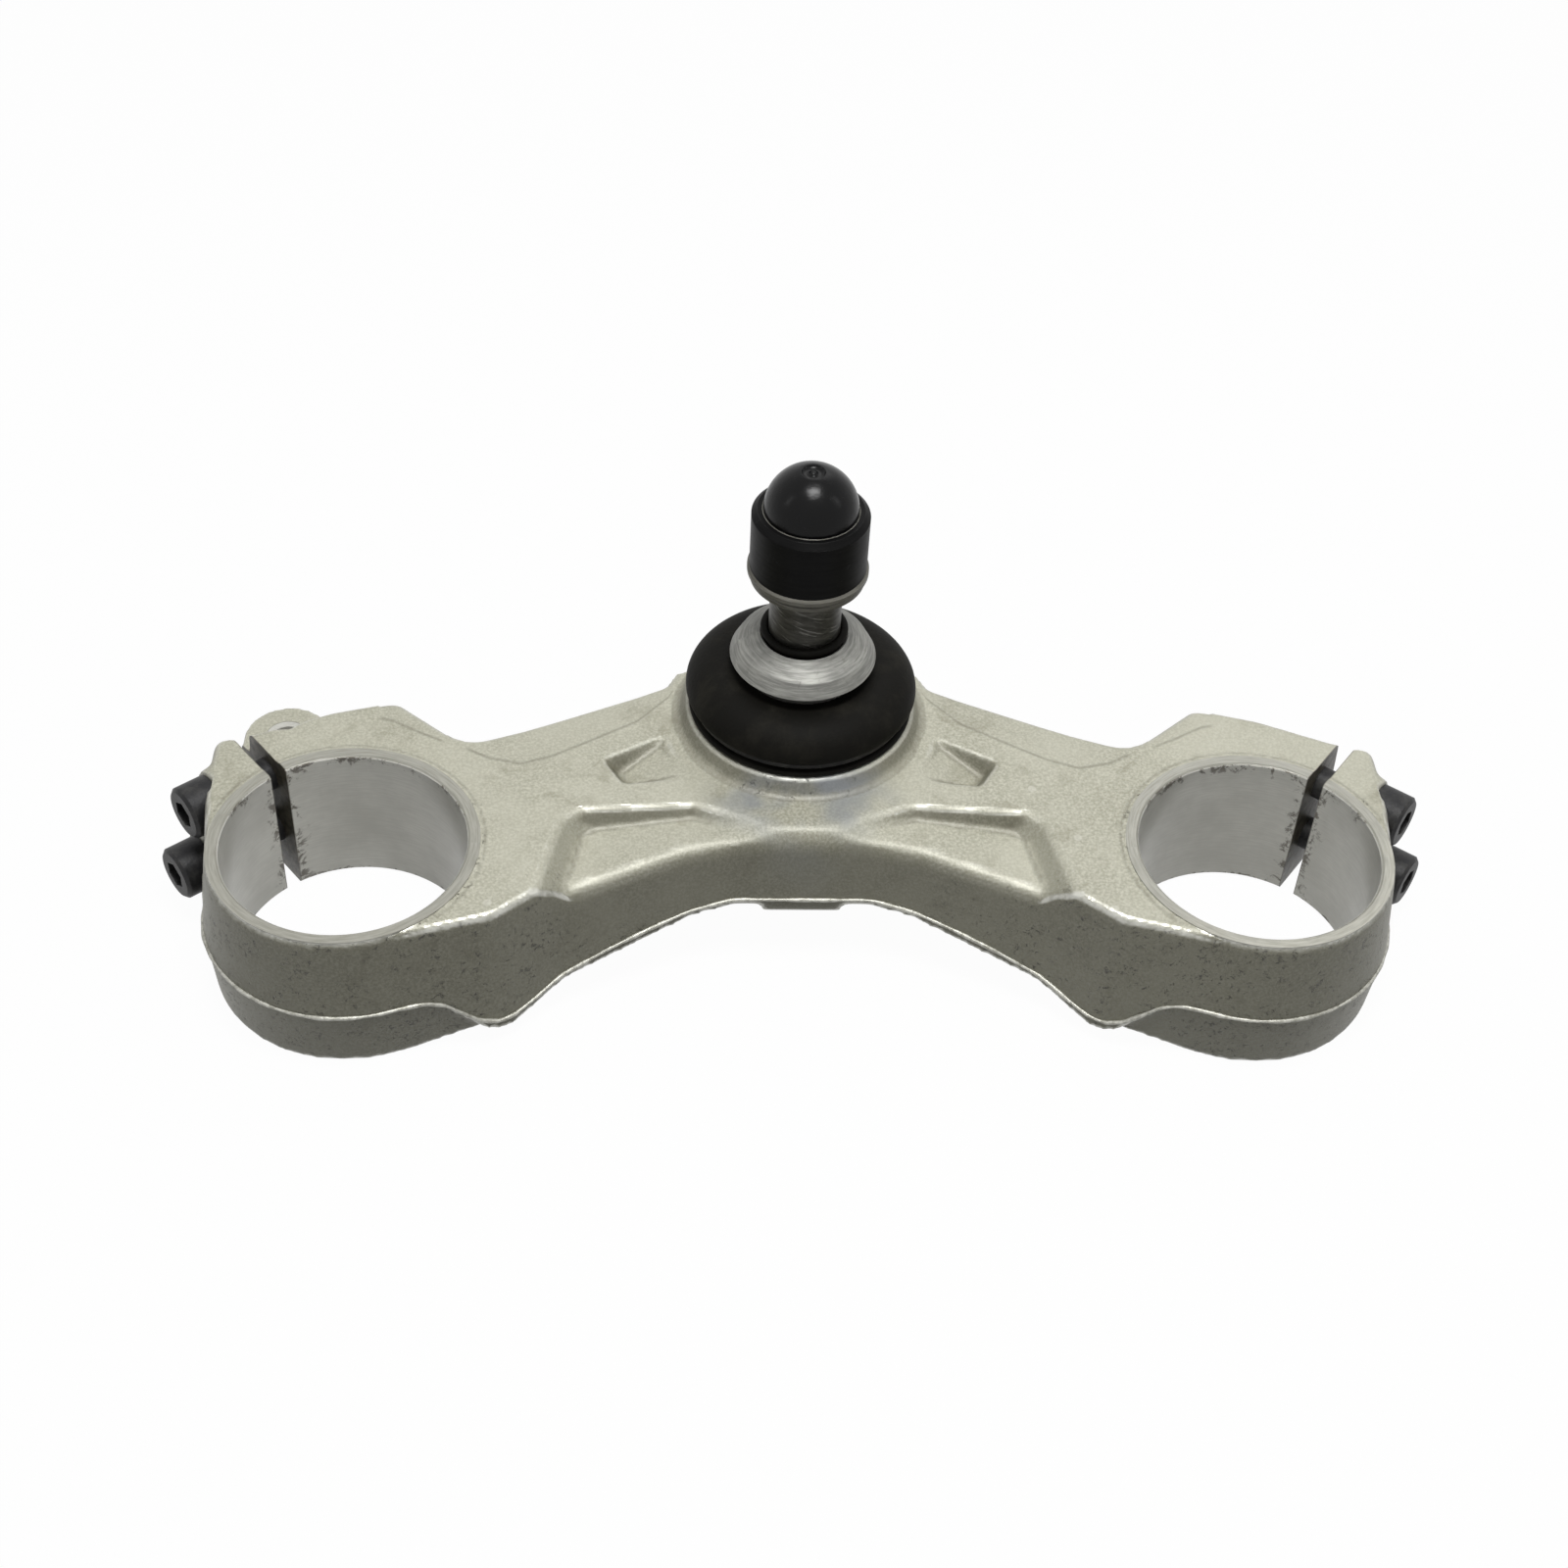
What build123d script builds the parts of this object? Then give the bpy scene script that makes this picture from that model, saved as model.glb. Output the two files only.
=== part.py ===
from build123d import *
from math import cos, radians, sin, tan
import os

# Lower fork bridge with a ball joint, lying on its clamp bottoms. Sizes in millimetres.
# Everything is drawn from the line through both fork bores, and moved to the frame on export.
# X runs across the bridge, Y to the rear, Z up from the clamp bottoms.
FORK_LINE_Y = -21.3

# Fork clamps
FORK_SPACING = 210.0
FORK_X = FORK_SPACING / 2
FORK_BORE_R = 28.0
BORE_CHAMFER = 0.55
RING_R = 30.9
RING_Z = 38.0
CLAMP_TOP_R = 31.2
SLOT_WIDTH = 3.9
SLOT_ANGLE = 52.0
SLOT_REACH = 60.0
EAR_END_X = FORK_X + 27.3
EAR_END_Y = 34.6

# Casting
TOP_Z = 37.5
SPLIT_Z = 16.2
DRAFT = 7.125
LOWER_DRAFT = 4.2
REACH = FORK_X + 45.0
CUT_OVER = 5.0

# Front pockets: floor height under its outer corner, and its rise from there to the middle
POCKET_FLOOR_Z = 33.0
POCKET_FLOOR_X = FORK_X - 55.5
POCKET_RISE = 3.465
POCKET_CORNER_Y = 6.0
RIM_ROUND = 4.0
POCKET_ROUND = 3.0
EDGE_CHAMFER = 0.9

# Rear wedge pockets: depth at the outer end, running out towards the boss
WEDGE_DEPTH = 6.4
WEDGE_OUTER_X = FORK_X - 55.0
WEDGE_INNER_X = 28.5
WEDGE_DRAFT = 30.0

# Lug behind the left clamp, and the pad under the front web
LUG_X = -FORK_X - 18.5
LUG_Y = 43.5
LUG_R = 10.3
LUG_HOLE_R = 4.2
LUG_CLEAR_R = 5.4
LUG_TOP_Z = 30.0
LUG_BOTTOM_Z = 24.0
PAD_HALF_WIDTH = 9.5
PAD_DROP = 2.2
PAD_DEPTH = 7.0
PAD_FORWARD = 2.4

# Ball joint
STUD_Y = 45.0
BOSS_TOP_Z = 41.5
BOSS_BOTTOM_Z = 9.0
BOSS_TOP_R = 27.3
BOSS_EDGE = 1.6
BOSS_FOOT_SPREAD = 6.3
BOSS_FOOT_R = BOSS_TOP_R + BOSS_FOOT_SPREAD
BOSS_SPLIT_SPREAD = 3.9
BOSS_SPLIT_R = BOSS_TOP_R + BOSS_SPLIT_SPREAD
BOSS_BOTTOM_R = BOSS_TOP_R + 2.1
BOSS_SPLIT_Z = 18.8
FOOT_BEND_R = BOSS_TOP_R + 1.3
FOOT_BEND_Z = TOP_Z + 1.5
FOOT_GROW = 3.0
SPIGOT_R = 21.5
SPIGOT_Z = 45.0
MOUTH_R = 14.5
THROAT_R = 11.0
BALL_Z = 27.0
BALL_R = 12.5
BALL_PLAY = 0.06
SEAT_R = 17.0
SEAT_TOP_Z = 34.0
SEAT_BOTTOM_Z = 13.5
PLATE_R = 18.6
PLATE_H = 2.4
RETAINER_R = 19.6
RETAINER_INNER_R = 16.8
RETAINER_H = 1.2
RETAINER_GAP = 5.0
EYE_X = 3.6
EYE_IN = 0.6
EYE_R = 2.4
EYE_HOLE_R = 1.1
NECK_R = 7.0
NECK_H = 4.0
PIN_R = 8.45
PIN_FULL_Z = 52.0
PIN_SHOULDER_Z = 80.0
THREAD_R = 7.0
THREAD_TOP_Z = 101.0
THREAD_EDGE = 1.2

# Pieces on the pin
COLLAR_BOTTOM_Z = 53.2
COLLAR_RIM_R = 17.3
COLLAR_RIM_Z = 57.2
COLLAR_FOLD_R = 15.4
COLLAR_FOLD_Z = 60.7
COLLAR_TOP_Z = 63.7
COLLAR_HOLE_R = 9.7
COLLAR_SKIRT_R = 14.0
COLLAR_BORE_R = 12.2
COLLAR_CONE_Z = 60.4
COLLAR_EDGE = 1.4
BOOT_R = 27.6
BOOT_WALL = 2.2
BOOT_LIP_R = 26.8
BOOT_LIP_H = 1.5
BOOT_LIP_TOP_Z = 65.8
BOOT_WAIST_R = 25.0
BOOT_WAIST_Z = 43.8
BOOT_BULGE_Z = 46.8
BOOT_CROWN_Z = 53.9
BOOT_CROWN_R = 19.6
BOOT_PLAY = 0.05
CLIP_WALL = 1.0
CLIP_H = 1.0
WASHER_R = 13.3
WASHER_H = 2.0
RIM_EDGE = 0.6
FLANGE_R = 14.0
FLANGE_H = 2.2
NUT_ACROSS_FLATS = 21.0
NUT_TOP_Z = 96.0
SLEEVE_R = 13.5
SLEEVE_WALL = 1.0
SLEEVE_EDGE = 1.3
SLEEVE_TOP_Z = 99.5
SLEEVE_LIP_Z = 97.6
DOME_R = 10.9
DOME_Z = 99.5
DOME_WALL = 1.4
DOME_FOOT_R = 12.3
DOME_FOOT_H = 1.4

# Pinch bolts, size M8
BOLT_R = 4.0
BOLT_REACH = 37.0
BOLT_HEAD_R = 6.5
BOLT_HEAD_H = 8.0
BOLT_TIP = 13.0
BOLT_SOCKET_R = 3.46
BOLT_SOCKET_DEPTH = 4.0
UPPER_BOLT = {"z": 30.0, "seat": 12.9}
LOWER_BOLT = {"z": 12.8, "seat": 17.7}
BOLT_EDGE = 0.8
BOLT_HOLE_R = 4.05
SPOT_R = 7.4
SPOT_DEPTH = 8.0

# Half outlines of the casting at the height of its top face, right side, from the front round.
# Points near the clamp are placed from the fork's axis, and the others from the middle.
ARM = [
    (15.6, 3.1),
    (27.0, 0.9),
    (FORK_X - 48.2, -11.3),
    (FORK_X - 34.7, -22.0),
    (FORK_X - 9.5, -29.5),
    (FORK_X, -29.0),
    (FORK_X, 20.0),
    (FORK_X - 25.0, 33.6),
    (27.5, 57.3),
]
EAR_OUTER = [
    (FORK_X + CLAMP_TOP_R, 0.0),
    (FORK_X + 33.3, 16.0),
    (FORK_X + 33.5, 34.2),
    (FORK_X + 23.8, 36.9),
    (FORK_X + 7.3, 44.3),
]
EAR = EAR_OUTER + [
    (FORK_X - 8.0, 48.6),
    ARM[7],
    (FORK_X - 13.0, 12.0),
    (FORK_X, 0.0),
]
LOWER_EAR = EAR_OUTER + [
    (FORK_X - 6.0, 47.6),
    (FORK_X - 15.0, 38.0),
    (FORK_X - 13.0, 12.0),
    (FORK_X, 0.0),
]
# The corners of these outlines that are rounded, and their radii
CORNERS = [
    (ARM[3], 8.0),
    (ARM[2], 7.5),
    (ARM[1], 18.0),
    (ARM[0], 14.0),
    (ARM[7], 8.0),
    (EAR[5], 3.0),
    (EAR[4], 12.0),
    (EAR[1], 40.0),
    (EAR[2], 3.5),
]

# Corner between the clamp and the arm below the parting line, in plan and along its lower edge
GUSSET = [(FORK_X - 33.0, -22.6), ARM[4], ARM[5], (FORK_X, -5.0), (FORK_X - 21.0, -5.0)]
GUSSET_EDGE = [(FORK_X - 35.0, 4.0, 8.0), (FORK_X - 17.0, 0.6, 8.0)]

# Underside of the arms, seen from the front: across, height, rounding there
UNDERSIDE = [
    (20.0, 16.8, 60.0),
    (FORK_X - 49.0, 7.6, 60.0),
    (FORK_X - 38.5, 3.3, 8.0),
    (FORK_X - 32.5, 3.8, 8.0),
    (FORK_X - 21.5, SPLIT_Z, 8.0),
]
# Right front pocket at its floor and at the top face, and right rear wedge pocket
POCKET_FLOOR = [
    (FORK_X - 47.8, -20.0),
    (FORK_X - 53.4, 7.2),
    (FORK_X - 56.4, 9.6),
    (26.0, 12.0),
    (0.6, 1.9),
    (0.6, -20.0),
]
POCKET_BRIM = [
    (FORK_X - 41.8, -20.0),
    (FORK_X - 48.1, 8.4),
    (FORK_X - 51.2, 11.5),
    (24.3, 13.4),
    (-0.1, 3.5),
    (-0.1, -20.0),
]
WEDGE = [(FORK_X - 58.0, 28.4), (31.0, 37.6), (24.0, 30.0), (26.0, 22.4), (FORK_X - 62.8, 20.2)]


def mirrored(points):
    """The right half's points, then the left half's, as one closed outline."""
    return points + [(-x, y) for x, y in reversed(points)]


def outline(points):
    return make_face(Polyline(*points, close=True))


def corner(sketch, x, y):
    """The vertices of a sketch at a corner and at its mirror image."""
    return [v for v in sketch.vertices() if abs(abs(v.X) - x) < 0.6 and abs(v.Y - y) < 0.6]


def shared_edges(some_faces, other_faces):
    """Edges where a face of one group meets a face of the other."""
    first = {e for f in some_faces for e in f.edges()}
    return [e for f in other_faces for e in f.edges() if e in first]


def turned(points, x=0.0, y=STUD_Y):
    """A turned piece from its half section, radius and height, standing at a place in plan."""
    section = Plane.XZ * make_face(Polyline(*points, close=True))
    return Pos(x, y, 0) * revolve(section, Axis.Z)


def cylinder(x, y, radius, low, high):
    return Pos(x, y, low) * extrude(Circle(radius), amount=high - low)


def both_sides(shape):
    return shape + mirror(shape, about=Plane.YZ)


def right_half(shape):
    return shape & Pos(REACH, 0, 0) * Box(2 * REACH, 4 * REACH, 4 * REACH)


def block_below(points):
    """A block under a rounded line through the points, from just left of the middle outwards."""
    first_z = points[0][1]
    last_z = points[-1][1]
    corners = [(x, z) for x, z, radius in points]
    line = FilletPolyline((-CUT_OVER, first_z), *corners, (REACH, last_z), radius=[p[2] for p in points])
    frame = Polyline((REACH, last_z), (REACH, -REACH), (-CUT_OVER, -REACH), (-CUT_OVER, first_z))
    return extrude(Plane.XZ * make_face(line + frame), amount=REACH, both=True)


def drafted(sketch, grow=0.0):
    """The casting's drafted walls from the floor up to the top face."""
    base = offset(sketch, amount=TOP_Z * tan(radians(DRAFT)) + grow, kind=Kind.INTERSECTION)
    return extrude(base, amount=TOP_Z, taper=DRAFT)


def drafted_down(sketch):
    """Walls below the parting line, drafted inwards from it down to the floor."""
    base = offset(sketch, amount=(TOP_Z - SPLIT_Z) * tan(radians(DRAFT)))
    walls = mirror(extrude(base, amount=SPLIT_Z, taper=LOWER_DRAFT), about=Plane.XY)
    return Pos(0, 0, SPLIT_Z) * walls


def bolt_plane(bolt):
    """Plane on a right pinch bolt's seat, its normal pointing out of the head."""
    a = radians(SLOT_ANGLE)
    out = Vector(sin(a), -cos(a), 0)
    middle = Vector(FORK_X + BOLT_REACH * cos(a), BOLT_REACH * sin(a), bolt["z"])
    return Plane(origin=middle + out * bolt["seat"], x_dir=(0, 0, 1), z_dir=out)


def plan_outline():
    clamp = Pos(FORK_X, 0) * Circle(CLAMP_TOP_R) + outline(EAR)
    plan = outline(mirrored(ARM)) + both_sides(clamp)
    for (x, y), radius in CORNERS:
        plan = fillet(corner(plan, x, y), radius)
    return plan


def lower_clamps():
    """The clamps and ears below the parting line, drafted the other way."""
    clamp = Pos(FORK_X, 0) * Circle(CLAMP_TOP_R) + outline(LOWER_EAR)
    gusset = drafted_down(outline(GUSSET)) - block_below(GUSSET_EDGE)
    return both_sides(drafted_down(clamp) + gusset)


def front_pockets():
    slope = POCKET_RISE / POCKET_FLOOR_X
    low = [(x, y, POCKET_FLOOR_Z + slope * (POCKET_FLOOR_X - x)) for x, y in POCKET_FLOOR]
    high = [(x, y, RING_Z) for x, y in POCKET_BRIM]
    return both_sides(loft([outline(low), outline(high)], ruled=True))


def rear_wedges():
    walls = mirror(extrude(outline(WEDGE), amount=WEDGE_DEPTH, taper=WEDGE_DRAFT), about=Plane.XY)
    section = [(WEDGE_OUTER_X, TOP_Z - WEDGE_DEPTH), (WEDGE_INNER_X, TOP_Z),
               (WEDGE_INNER_X, TOP_Z + CUT_OVER), (WEDGE_OUTER_X, TOP_Z + CUT_OVER)]
    slope = extrude(Plane.XZ * outline(section), amount=REACH, both=True)
    return both_sides(Pos(0, 0, TOP_Z) * walls & slope)


def boss():
    """The round boss for the ball joint, with a hollow foot that runs out onto the arms."""
    section = [
        (0, BOSS_BOTTOM_Z),
        (BOSS_BOTTOM_R, BOSS_BOTTOM_Z),
        (BOSS_SPLIT_R, BOSS_SPLIT_Z),
        (BOSS_TOP_R + 2 * BOSS_EDGE, TOP_Z - BOSS_EDGE),
        (BOSS_TOP_R + BOSS_EDGE / 2, BOSS_TOP_Z - BOSS_EDGE),
        (BOSS_TOP_R, BOSS_TOP_Z),
        (SPIGOT_R, BOSS_TOP_Z),
        (SPIGOT_R, SPIGOT_Z),
        (0, SPIGOT_Z),
    ]
    return turned(section)


def boss_foot():
    """The hollow fillet round the boss, where it stands on the arms' top face."""
    arc = ThreePointArc((BOSS_TOP_R, BOSS_TOP_Z), (FOOT_BEND_R, FOOT_BEND_Z), (BOSS_FOOT_R, TOP_Z))
    edge = Polyline((BOSS_FOOT_R, TOP_Z), (BOSS_FOOT_R, TOP_Z - 1), (0, TOP_Z - 1), (0, BOSS_TOP_Z),
                    (BOSS_TOP_R, BOSS_TOP_Z))
    return Pos(0, STUD_Y, 0) * revolve(Plane.XZ * make_face(arc + edge), Axis.Z)


def pocket_floors(body):
    low = POCKET_FLOOR_Z - EDGE_CHAMFER
    high = TOP_Z - EDGE_CHAMFER / 2
    return [f for f in body.faces() if f.normal_at().Z > 0.9 and low < f.center().Z < high]


def pocket_sides(body):
    high = TOP_Z - EDGE_CHAMFER / 2
    faces = [f for f in body.faces() if POCKET_FLOOR_Z < f.center().Z < high]
    return [f for f in faces if 0.2 < f.normal_at().Z < 0.9]


def with_pockets(body):
    """Cuts the front pockets, rounds their front rim and corners, and breaks all the top edges."""
    body -= front_pockets()
    walls = [f for f in body.faces() if f.normal_at().Y < -0.5 and f.normal_at().Z < 0.2]
    body = fillet(shared_edges(walls, pocket_floors(body)), RIM_ROUND)
    sides = pocket_sides(body)
    corners = [e for i, f in enumerate(sides) for e in shared_edges([f], sides[i + 1:])]
    body = fillet([e for e in corners if e.position_at(0.5).Y > POCKET_CORNER_Y], POCKET_ROUND)
    top = body.faces().filter_by(Plane.XY).sort_by(Axis.Z)[-1]
    return chamfer(top.edges(), EDGE_CHAMFER)


def lug():
    """The round-ended lug with a hole behind the left clamp."""
    end = cylinder(LUG_X, LUG_Y, LUG_R, LUG_BOTTOM_Z, LUG_TOP_Z)
    root = Pos(LUG_X + LUG_R / 2, LUG_Y - LUG_R, LUG_BOTTOM_Z) * Box(
        3 * LUG_R, 2 * LUG_R, LUG_TOP_Z - LUG_BOTTOM_Z, align=(Align.CENTER, Align.CENTER, Align.MIN))
    return end + root


def lug_cuts():
    """The lug's hole, and room in the ear above and below it for a bolt's head and nut."""
    hole = cylinder(LUG_X, LUG_Y, LUG_HOLE_R, LUG_BOTTOM_Z, LUG_TOP_Z)
    above = cylinder(LUG_X, LUG_Y, LUG_CLEAR_R, LUG_TOP_Z, TOP_Z + CUT_OVER)
    return hole + above + cylinder(LUG_X, LUG_Y, LUG_CLEAR_R, -CUT_OVER, LUG_BOTTOM_Z)


def web_pad():
    low = UNDERSIDE[0][1] - PAD_DROP
    front = ARM[0][1] - PAD_FORWARD
    return Pos(0, front, low) * Box(2 * PAD_HALF_WIDTH, PAD_DEPTH, 2 * PAD_DROP,
                                    align=(Align.CENTER, Align.MIN, Align.MIN))


def bolt_bosses():
    """Round seats for the pinch bolt heads on the outer ears."""
    seats = [bolt_plane(b) * extrude(Circle(SPOT_R), amount=-SPOT_DEPTH) for b in (UPPER_BOLT, LOWER_BOLT)]
    return both_sides(seats[0] + seats[1])


def bolt_cuts():
    """Spot faces over the seats, and the holes through the outer ear into the inner one."""
    cuts = []
    for bolt in (UPPER_BOLT, LOWER_BOLT):
        plane = bolt_plane(bolt)
        cuts.append(plane * extrude(Circle(SPOT_R), amount=2 * BOLT_HEAD_H))
        cuts.append(plane * extrude(Circle(BOLT_HOLE_R), amount=-bolt["seat"] - BOLT_TIP - BOLT_EDGE))
    return both_sides(cuts[0] + cuts[1:])


def fork_cuts():
    """Fork bores with their chamfers, and the slots that let the clamps close."""
    wide = FORK_BORE_R + BORE_CHAMFER
    bore = turned([(0, -1), (wide, -1), (wide, 0), (FORK_BORE_R, BORE_CHAMFER),
                   (FORK_BORE_R, RING_Z - BORE_CHAMFER), (wide, RING_Z), (wide, RING_Z + 1),
                   (0, RING_Z + 1)], FORK_X, 0)
    slot = Box(SLOT_REACH, SLOT_WIDTH, 2 * RING_Z, align=(Align.MIN, Align.CENTER, Align.CENTER))
    return both_sides(bore + Pos(FORK_X, 0, RING_Z / 2) * Rot(0, 0, SLOT_ANGLE) * slot)


def ear_ends():
    """The outer ears end square, a little short of the inner ones."""
    end = Pos(EAR_END_X, EAR_END_Y, -CUT_OVER) * Box(REACH, REACH, REACH, align=Align.MIN)
    return both_sides(end)


def joint_cut():
    """The room for the ball, its seats, the closing plate and the retaining ring."""
    plate_z = SEAT_BOTTOM_Z - PLATE_H
    groove_z = plate_z - RETAINER_H
    return turned([
        (0, BOSS_BOTTOM_Z - 1),
        (PLATE_R, BOSS_BOTTOM_Z - 1),
        (PLATE_R, groove_z),
        (RETAINER_R, groove_z),
        (RETAINER_R, plate_z),
        (PLATE_R, plate_z),
        (PLATE_R, SEAT_BOTTOM_Z),
        (SEAT_R, SEAT_BOTTOM_Z),
        (SEAT_R, SEAT_TOP_Z),
        (THROAT_R, SEAT_TOP_Z),
        (MOUTH_R, BOSS_TOP_Z),
        (MOUTH_R, SPIGOT_Z + 1),
        (0, SPIGOT_Z + 1),
    ])


def cast_arms(plan):
    """Arms and clamps as cast; the right half is cut from below and then mirrored."""
    half = right_half(with_pockets(drafted(plan))) - block_below(UNDERSIDE)
    half += right_half(lower_clamps())
    return both_sides(half - right_half(rear_wedges()))


def make_bridge():
    plan = plan_outline()
    body = cast_arms(plan)
    body += boss_foot() & (drafted(plan, FOOT_GROW) + boss())
    body += boss()
    body -= ear_ends()
    body += [both_sides(cylinder(FORK_X, 0, RING_R, TOP_Z - 2, RING_Z)), lug(), web_pad(), bolt_bosses()]
    body -= [lug_cuts(), fork_cuts(), bolt_cuts(), joint_cut()]
    return body


def make_bolt(bolt):
    """A right pinch bolt with a socket head, in its clamp."""
    plane = bolt_plane(bolt)
    head = extrude(Circle(BOLT_HEAD_R), amount=BOLT_HEAD_H)
    head = chamfer(head.edges().sort_by(Axis.Z)[-1], BOLT_EDGE)
    shank = extrude(Circle(BOLT_R), amount=-bolt["seat"] - BOLT_TIP)
    key = Pos(0, 0, BOLT_HEAD_H - BOLT_SOCKET_DEPTH) * extrude(
        RegularPolygon(BOLT_SOCKET_R, 6), amount=BOLT_HEAD_H)
    return plane * (head + shank - key)


def make_ball_stud():
    """Ball, neck, pin and thread in one turned piece."""
    neck_z = BALL_Z + (BALL_R**2 - NECK_R**2) ** 0.5
    shank = turned([
        (0, BALL_Z),
        (NECK_R, BALL_Z),
        (NECK_R, neck_z + NECK_H),
        (PIN_R, PIN_FULL_Z),
        (PIN_R, PIN_SHOULDER_Z),
        (THREAD_R, PIN_SHOULDER_Z),
        (THREAD_R, THREAD_TOP_Z - THREAD_EDGE),
        (THREAD_R - THREAD_EDGE, THREAD_TOP_Z),
        (0, THREAD_TOP_Z),
    ])
    return Pos(0, STUD_Y, BALL_Z) * Sphere(BALL_R) + shank


def make_seats():
    """Upper and lower halves of the ball seat."""
    hollow = Pos(0, STUD_Y, BALL_Z) * Sphere(BALL_R + BALL_PLAY)
    upper = cylinder(0, STUD_Y, SEAT_R - BALL_PLAY, BALL_Z, SEAT_TOP_Z) - hollow
    lower = cylinder(0, STUD_Y, SEAT_R - BALL_PLAY, SEAT_BOTTOM_Z, BALL_Z) - hollow
    return upper, lower


def make_plate():
    """Closing plate with a shallow dish in its underside."""
    low = SEAT_BOTTOM_Z - PLATE_H
    plate = cylinder(0, STUD_Y, PLATE_R - BALL_PLAY, low, SEAT_BOTTOM_Z)
    return plate - cylinder(0, STUD_Y, PLATE_R / 2, low, low + PLATE_H / 3)


def make_retainer():
    """Retaining ring with the gap and the two eyes that pliers take."""
    high = SEAT_BOTTOM_Z - PLATE_H
    low = high - RETAINER_H
    eye_y = STUD_Y - RETAINER_INNER_R + EYE_IN
    ring = cylinder(0, STUD_Y, RETAINER_R - BALL_PLAY, low, high)
    ring -= cylinder(0, STUD_Y, RETAINER_INNER_R, low, high)
    gap = Pos(0, STUD_Y - RETAINER_R, low) * Box(RETAINER_GAP, RETAINER_R, 6 * RETAINER_H)
    ring = ring - gap + both_sides(cylinder(EYE_X, eye_y, EYE_R, low, high))
    return ring - both_sides(cylinder(EYE_X, eye_y, EYE_HOLE_R, low, high))


def make_clip():
    """Flat ring that holds the boot's lower end in its waist."""
    inside = BOOT_WAIST_R + BOOT_PLAY
    low = BOOT_WAIST_Z + BOOT_PLAY
    high = low + CLIP_H
    return turned([(inside, low), (inside + CLIP_WALL, low), (inside + CLIP_WALL, high), (inside, high)])


def make_boot():
    """Rubber boot: lower lip on the boss, full round bulge, thin lip up through the collar."""
    inside = PIN_R + BOOT_PLAY
    outside = COLLAR_HOLE_R - BOOT_PLAY
    spigot = SPIGOT_R + BOOT_PLAY
    bulge = BOOT_R - BOOT_CROWN_R
    rise = BOOT_CROWN_Z - BOOT_BULGE_Z
    return turned([
        (spigot, BOSS_TOP_Z),
        (BOOT_LIP_R, BOSS_TOP_Z),
        (BOOT_LIP_R, BOSS_TOP_Z + BOOT_LIP_H),
        (BOOT_WAIST_R, BOOT_WAIST_Z),
        (BOOT_WAIST_R, BOOT_WAIST_Z + CLIP_H + 2 * BOOT_PLAY),
        (BOOT_R, BOOT_BULGE_Z),
        (BOOT_R - 0.1 * bulge, BOOT_BULGE_Z + 0.35 * rise),
        (BOOT_R - 0.4 * bulge, BOOT_BULGE_Z + 0.75 * rise),
        (BOOT_CROWN_R, BOOT_CROWN_Z),
        (COLLAR_SKIRT_R, COLLAR_BOTTOM_Z - BOOT_PLAY),
        (COLLAR_BORE_R - BOOT_PLAY, COLLAR_BOTTOM_Z - BOOT_PLAY),
        (outside, COLLAR_CONE_Z),
        (outside, BOOT_LIP_TOP_Z),
        (inside, BOOT_LIP_TOP_Z),
        (inside, COLLAR_CONE_Z),
        (COLLAR_BORE_R - BOOT_WALL, COLLAR_BOTTOM_Z - BOOT_WALL),
        (BOOT_CROWN_R - BOOT_WALL / 2, BOOT_CROWN_Z - BOOT_WALL),
        (BOOT_R - 1.5 * BOOT_WALL, BOOT_BULGE_Z + BOOT_WALL),
        (spigot, SPIGOT_Z),
    ])


def make_collar():
    """Turned collar with a shallow cone above a steep one, that holds the boot's upper end."""
    return turned([
        (COLLAR_BORE_R, COLLAR_BOTTOM_Z),
        (COLLAR_SKIRT_R, COLLAR_BOTTOM_Z),
        (COLLAR_RIM_R - COLLAR_EDGE, COLLAR_RIM_Z - COLLAR_EDGE),
        (COLLAR_RIM_R, COLLAR_RIM_Z),
        (COLLAR_FOLD_R, COLLAR_FOLD_Z),
        (COLLAR_HOLE_R + COLLAR_EDGE / 2, COLLAR_TOP_Z),
        (COLLAR_HOLE_R, COLLAR_TOP_Z - COLLAR_EDGE / 2),
        (COLLAR_HOLE_R, COLLAR_CONE_Z),
    ])


def make_washer():
    low = PIN_SHOULDER_Z
    high = low + WASHER_H
    return turned([
        (THREAD_R + BOOT_PLAY, low),
        (WASHER_R - RIM_EDGE, low),
        (WASHER_R, low + RIM_EDGE),
        (WASHER_R, high - RIM_EDGE),
        (WASHER_R - RIM_EDGE, high),
        (THREAD_R + BOOT_PLAY, high),
    ])


def make_nut():
    """Flange nut; the hexagon is inside the sleeve."""
    low = PIN_SHOULDER_Z + WASHER_H
    flange = turned([
        (0, low),
        (FLANGE_R - RIM_EDGE, low),
        (FLANGE_R, low + RIM_EDGE),
        (FLANGE_R, low + FLANGE_H - RIM_EDGE),
        (FLANGE_R - RIM_EDGE, low + FLANGE_H),
        (0, low + FLANGE_H),
    ])
    hexagon = extrude(RegularPolygon(NUT_ACROSS_FLATS / 2, 6, major_radius=False), amount=NUT_TOP_Z - low)
    nut = flange + Pos(0, STUD_Y, low) * hexagon
    return nut - cylinder(0, STUD_Y, THREAD_R + BOOT_PLAY, low, NUT_TOP_Z)


def make_sleeve():
    low = PIN_SHOULDER_Z + WASHER_H + FLANGE_H
    inside = SLEEVE_R - SLEEVE_WALL
    return turned([
        (inside, low),
        (SLEEVE_R, low),
        (SLEEVE_R, SLEEVE_TOP_Z - SLEEVE_EDGE),
        (SLEEVE_R - SLEEVE_EDGE, SLEEVE_TOP_Z),
        (DOME_R + BOOT_PLAY, SLEEVE_TOP_Z),
        (DOME_R + BOOT_PLAY, SLEEVE_LIP_Z),
        (inside, SLEEVE_LIP_Z),
    ])


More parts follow.
